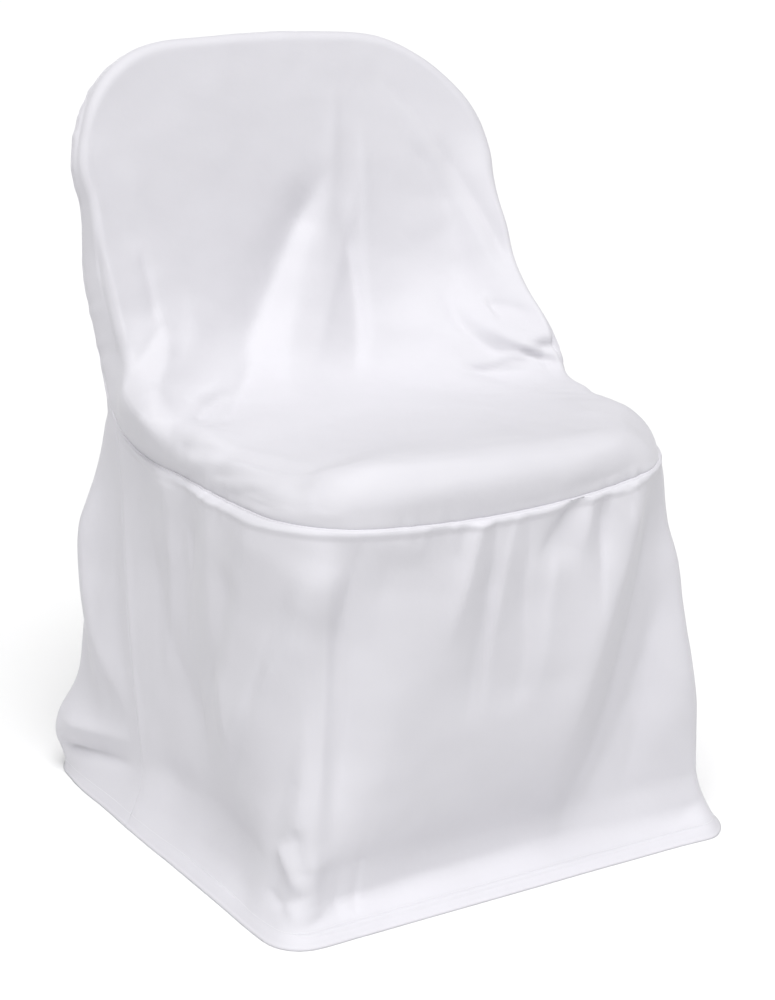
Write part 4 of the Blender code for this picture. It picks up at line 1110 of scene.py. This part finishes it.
def stitch_tree(thread):
    """Nodes that set one rounded stitch after another along a path."""
    tree = bpy.data.node_groups.new("hem_stitches", "GeometryNodeTree")
    face_in = tree.interface.new_socket("Path", in_out="INPUT", socket_type="NodeSocketGeometry")
    face_in.description = "the line that the needle follows"
    sizes = {}
    for label, size in (("Pitch", STITCH_PITCH), ("Thread radius", THREAD_RADIUS)):
        sizes[label] = tree.interface.new_socket(
            label, in_out="INPUT", socket_type="NodeSocketFloat"
        )
        sizes[label].default_value = size
    tree.interface.new_socket("Stitches", in_out="OUTPUT", socket_type="NodeSocketGeometry")
    nodes, links = tree.nodes, tree.links
    entry, leave = nodes.new("NodeGroupInput"), nodes.new("NodeGroupOutput")
    path = nodes.new("GeometryNodeMeshToCurve")
    spaced = nodes.new("GeometryNodeResampleCurve")
    spaced.mode = "LENGTH"
    shape = nodes.new("GeometryNodeMeshUVSphere")
    shape.inputs["Segments"].default_value = 6
    shape.inputs["Rings"].default_value = 4
    shape.inputs["Radius"].default_value = 1.0
    along = nodes.new("ShaderNodeMath")
    along.operation = "MULTIPLY"
    along.inputs[1].default_value = STITCH_SHARE
    size = nodes.new("ShaderNodeCombineXYZ")
    tangent = nodes.new("GeometryNodeInputTangent")
    aim = nodes.new("FunctionNodeAlignEulerToVector")
    aim.axis = "Z"
    set_down = nodes.new("GeometryNodeInstanceOnPoints")
    real = nodes.new("GeometryNodeRealizeInstances")
    dress = nodes.new("GeometryNodeSetMaterial")
    dress.inputs["Material"].default_value = thread
    for source, out, target, into in (
        (entry, "Path", path, "Mesh"),
        (path, "Curve", spaced, "Curve"),
        (entry, "Pitch", spaced, "Length"),
        (entry, "Pitch", along, 0),
        (entry, "Thread radius", size, "X"),
        (entry, "Thread radius", size, "Y"),
        (along, 0, size, "Z"),
        (tangent, "Tangent", aim, "Vector"),
        (spaced, "Curve", set_down, "Points"),
        (shape, "Mesh", set_down, "Instance"),
        (aim, "Rotation", set_down, "Rotation"),
        (size, "Vector", set_down, "Scale"),
        (set_down, "Instances", real, "Geometry"),
        (real, "Geometry", dress, "Geometry"),
        (dress, "Geometry", leave, "Stitches"),
    ):
        links.new(source.outputs[out], target.inputs[into])
    return tree, sizes


def thread_finish():
    """Twisted white sewing thread, a little glossier than the cloth."""
    settings = {"Roughness": 0.45, "Sheen Weight": 0.1}
    material, tree, surface = surfaced("sewing_thread", settings)
    tones = ((0.0, (0.80, 0.80, 0.83)), (1.0, (0.90, 0.90, 0.92)))
    toned(tree, surface, clouds(tree, 900.0, 2.0), tones)
    return material


def hem_line(points, ways):
    """Where the stitches lie on a panel: on its outer side at the stitch height."""
    line = []
    for column, way in zip(points, ways):
        heights = column[::-1, 2]
        spot = [np.interp(STITCH_HEIGHT, heights, column[::-1, k]) for k in (0, 1, 2)]
        line.append(np.array(spot) + way * THREAD_RADIUS * 0.5)
    return swell(np.array(line))


def stitched(name, line, tree, sizes):
    """The stitches along one line, as a plain mesh."""
    path = bpy.data.meshes.new(name)
    edges = [(k, k + 1) for k in range(len(line) - 1)]
    path.from_pydata(line.tolist(), edges, [])
    piece = bpy.data.objects.new(name, path)
    bpy.context.scene.collection.objects.link(piece)
    sewing = piece.modifiers.new("stitches", "NODES")
    sewing.node_group = tree
    sewing[sizes["Pitch"].identifier] = STITCH_PITCH
    sewing[sizes["Thread radius"].identifier] = THREAD_RADIUS
    made = bpy.data.meshes.new_from_object(
        piece.evaluated_get(bpy.context.evaluated_depsgraph_get())
    )
    piece.modifiers.clear()
    piece.data = made
    made.shade_smooth()
    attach(piece, "root")


tree, sizes = stitch_tree(thread_finish())
skirt_ways = floor_outward(skirt_walk(np.arange(SKIRT_COLUMNS + 1.0), 2))
stitched("skirt_hem_stitches", hem_line(skirt_points, skirt_ways), tree, sizes)
stitched("back_hem_stitches", hem_line(back_points, outward[:, -1]), tree, sizes)


# The floor is a plain pale studio surface, one level sheet, far wider than the view.
FLOOR_REACH = 60.0
FLOOR_TONE = (0.89, 0.89, 0.89, 1.0)


def studio_floor():
    mesh = bpy.data.meshes.new("studio_floor")
    corners = [(-1, -1), (1, -1), (1, 1), (-1, 1)]
    places = [(x * FLOOR_REACH, y * FLOOR_REACH, 0.0) for x, y in corners]
    mesh.from_pydata(places, [], [(0, 1, 2, 3)])
    ground = bpy.data.objects.new("studio_floor", mesh)
    bpy.context.scene.collection.objects.link(ground)
    settings = {"Base Color": FLOOR_TONE, "Roughness": 0.9, "Specular IOR Level": 0.0}
    mesh.materials.append(surfaced("pale_floor", settings)[0])


studio_floor()


# Soft studio light: a very broad light from high in front of the cover, a weak one from
# behind it, and a pale room whose even light fills the shadows.
SKY_STRENGTH = 0.20
LIGHTS = (
    # name, way it comes from, strength, spread in degrees
    ("overhead_light", (-0.20, -0.38, 1.0), 3.25, 45.0),
    ("rear_fill_light", (0.30, 1.0, 0.10), 0.65, 30.0),
)

for name, way, strength, spread in LIGHTS:
    light = bpy.data.lights.new(name, "SUN")
    light.energy = strength
    light.angle = math.radians(spread)
    lamp = bpy.data.objects.new(name, light)
    lamp.matrix_world = Vector(way).to_track_quat("Z", "Y").to_matrix().to_4x4()
    bpy.context.scene.collection.objects.link(lamp)

room = bpy.data.worlds.new("white_room")
room.use_nodes = True
room.node_tree.nodes["Background"].inputs["Color"].default_value = (1.0, 1.0, 1.0, 1.0)
room.node_tree.nodes["Background"].inputs["Strength"].default_value = SKY_STRENGTH
bpy.context.scene.world = room
bpy.context.scene.view_settings.view_transform = "Standard"


def aimed(place, target):
    """A place and turn that looks at the target."""
    way = (Vector(target) - Vector(place)).to_track_quat("-Z", "Y")
    return Matrix.Translation(place) @ way.to_matrix().to_4x4()


# The camera stands in front to the left, a little above the seat.
CAMERA_AZIMUTH = -31.13
CAMERA_HEIGHT_ANGLE = 15.07
CAMERA_DISTANCE = 2.0657
CAMERA_TARGET = (0.0002, -0.0277, 0.36)
CAMERA_LENS = 76.2
CAMERA_SENSOR = 36.0
CAMERA_SHIFT = (-0.0094, -0.0404)

turn, rise = math.radians(CAMERA_AZIMUTH), math.radians(CAMERA_HEIGHT_ANGLE)
back = Vector((math.sin(turn) * math.cos(rise), -math.cos(turn) * math.cos(rise), math.sin(rise)))
lens = bpy.data.cameras.new("camera")
lens.lens = CAMERA_LENS
lens.sensor_width = CAMERA_SENSOR
lens.shift_x, lens.shift_y = CAMERA_SHIFT
camera = bpy.data.objects.new("camera", lens)
camera.matrix_world = aimed(Vector(CAMERA_TARGET) + back * CAMERA_DISTANCE, CAMERA_TARGET)
bpy.context.scene.collection.objects.link(camera)
bpy.context.scene.camera = camera
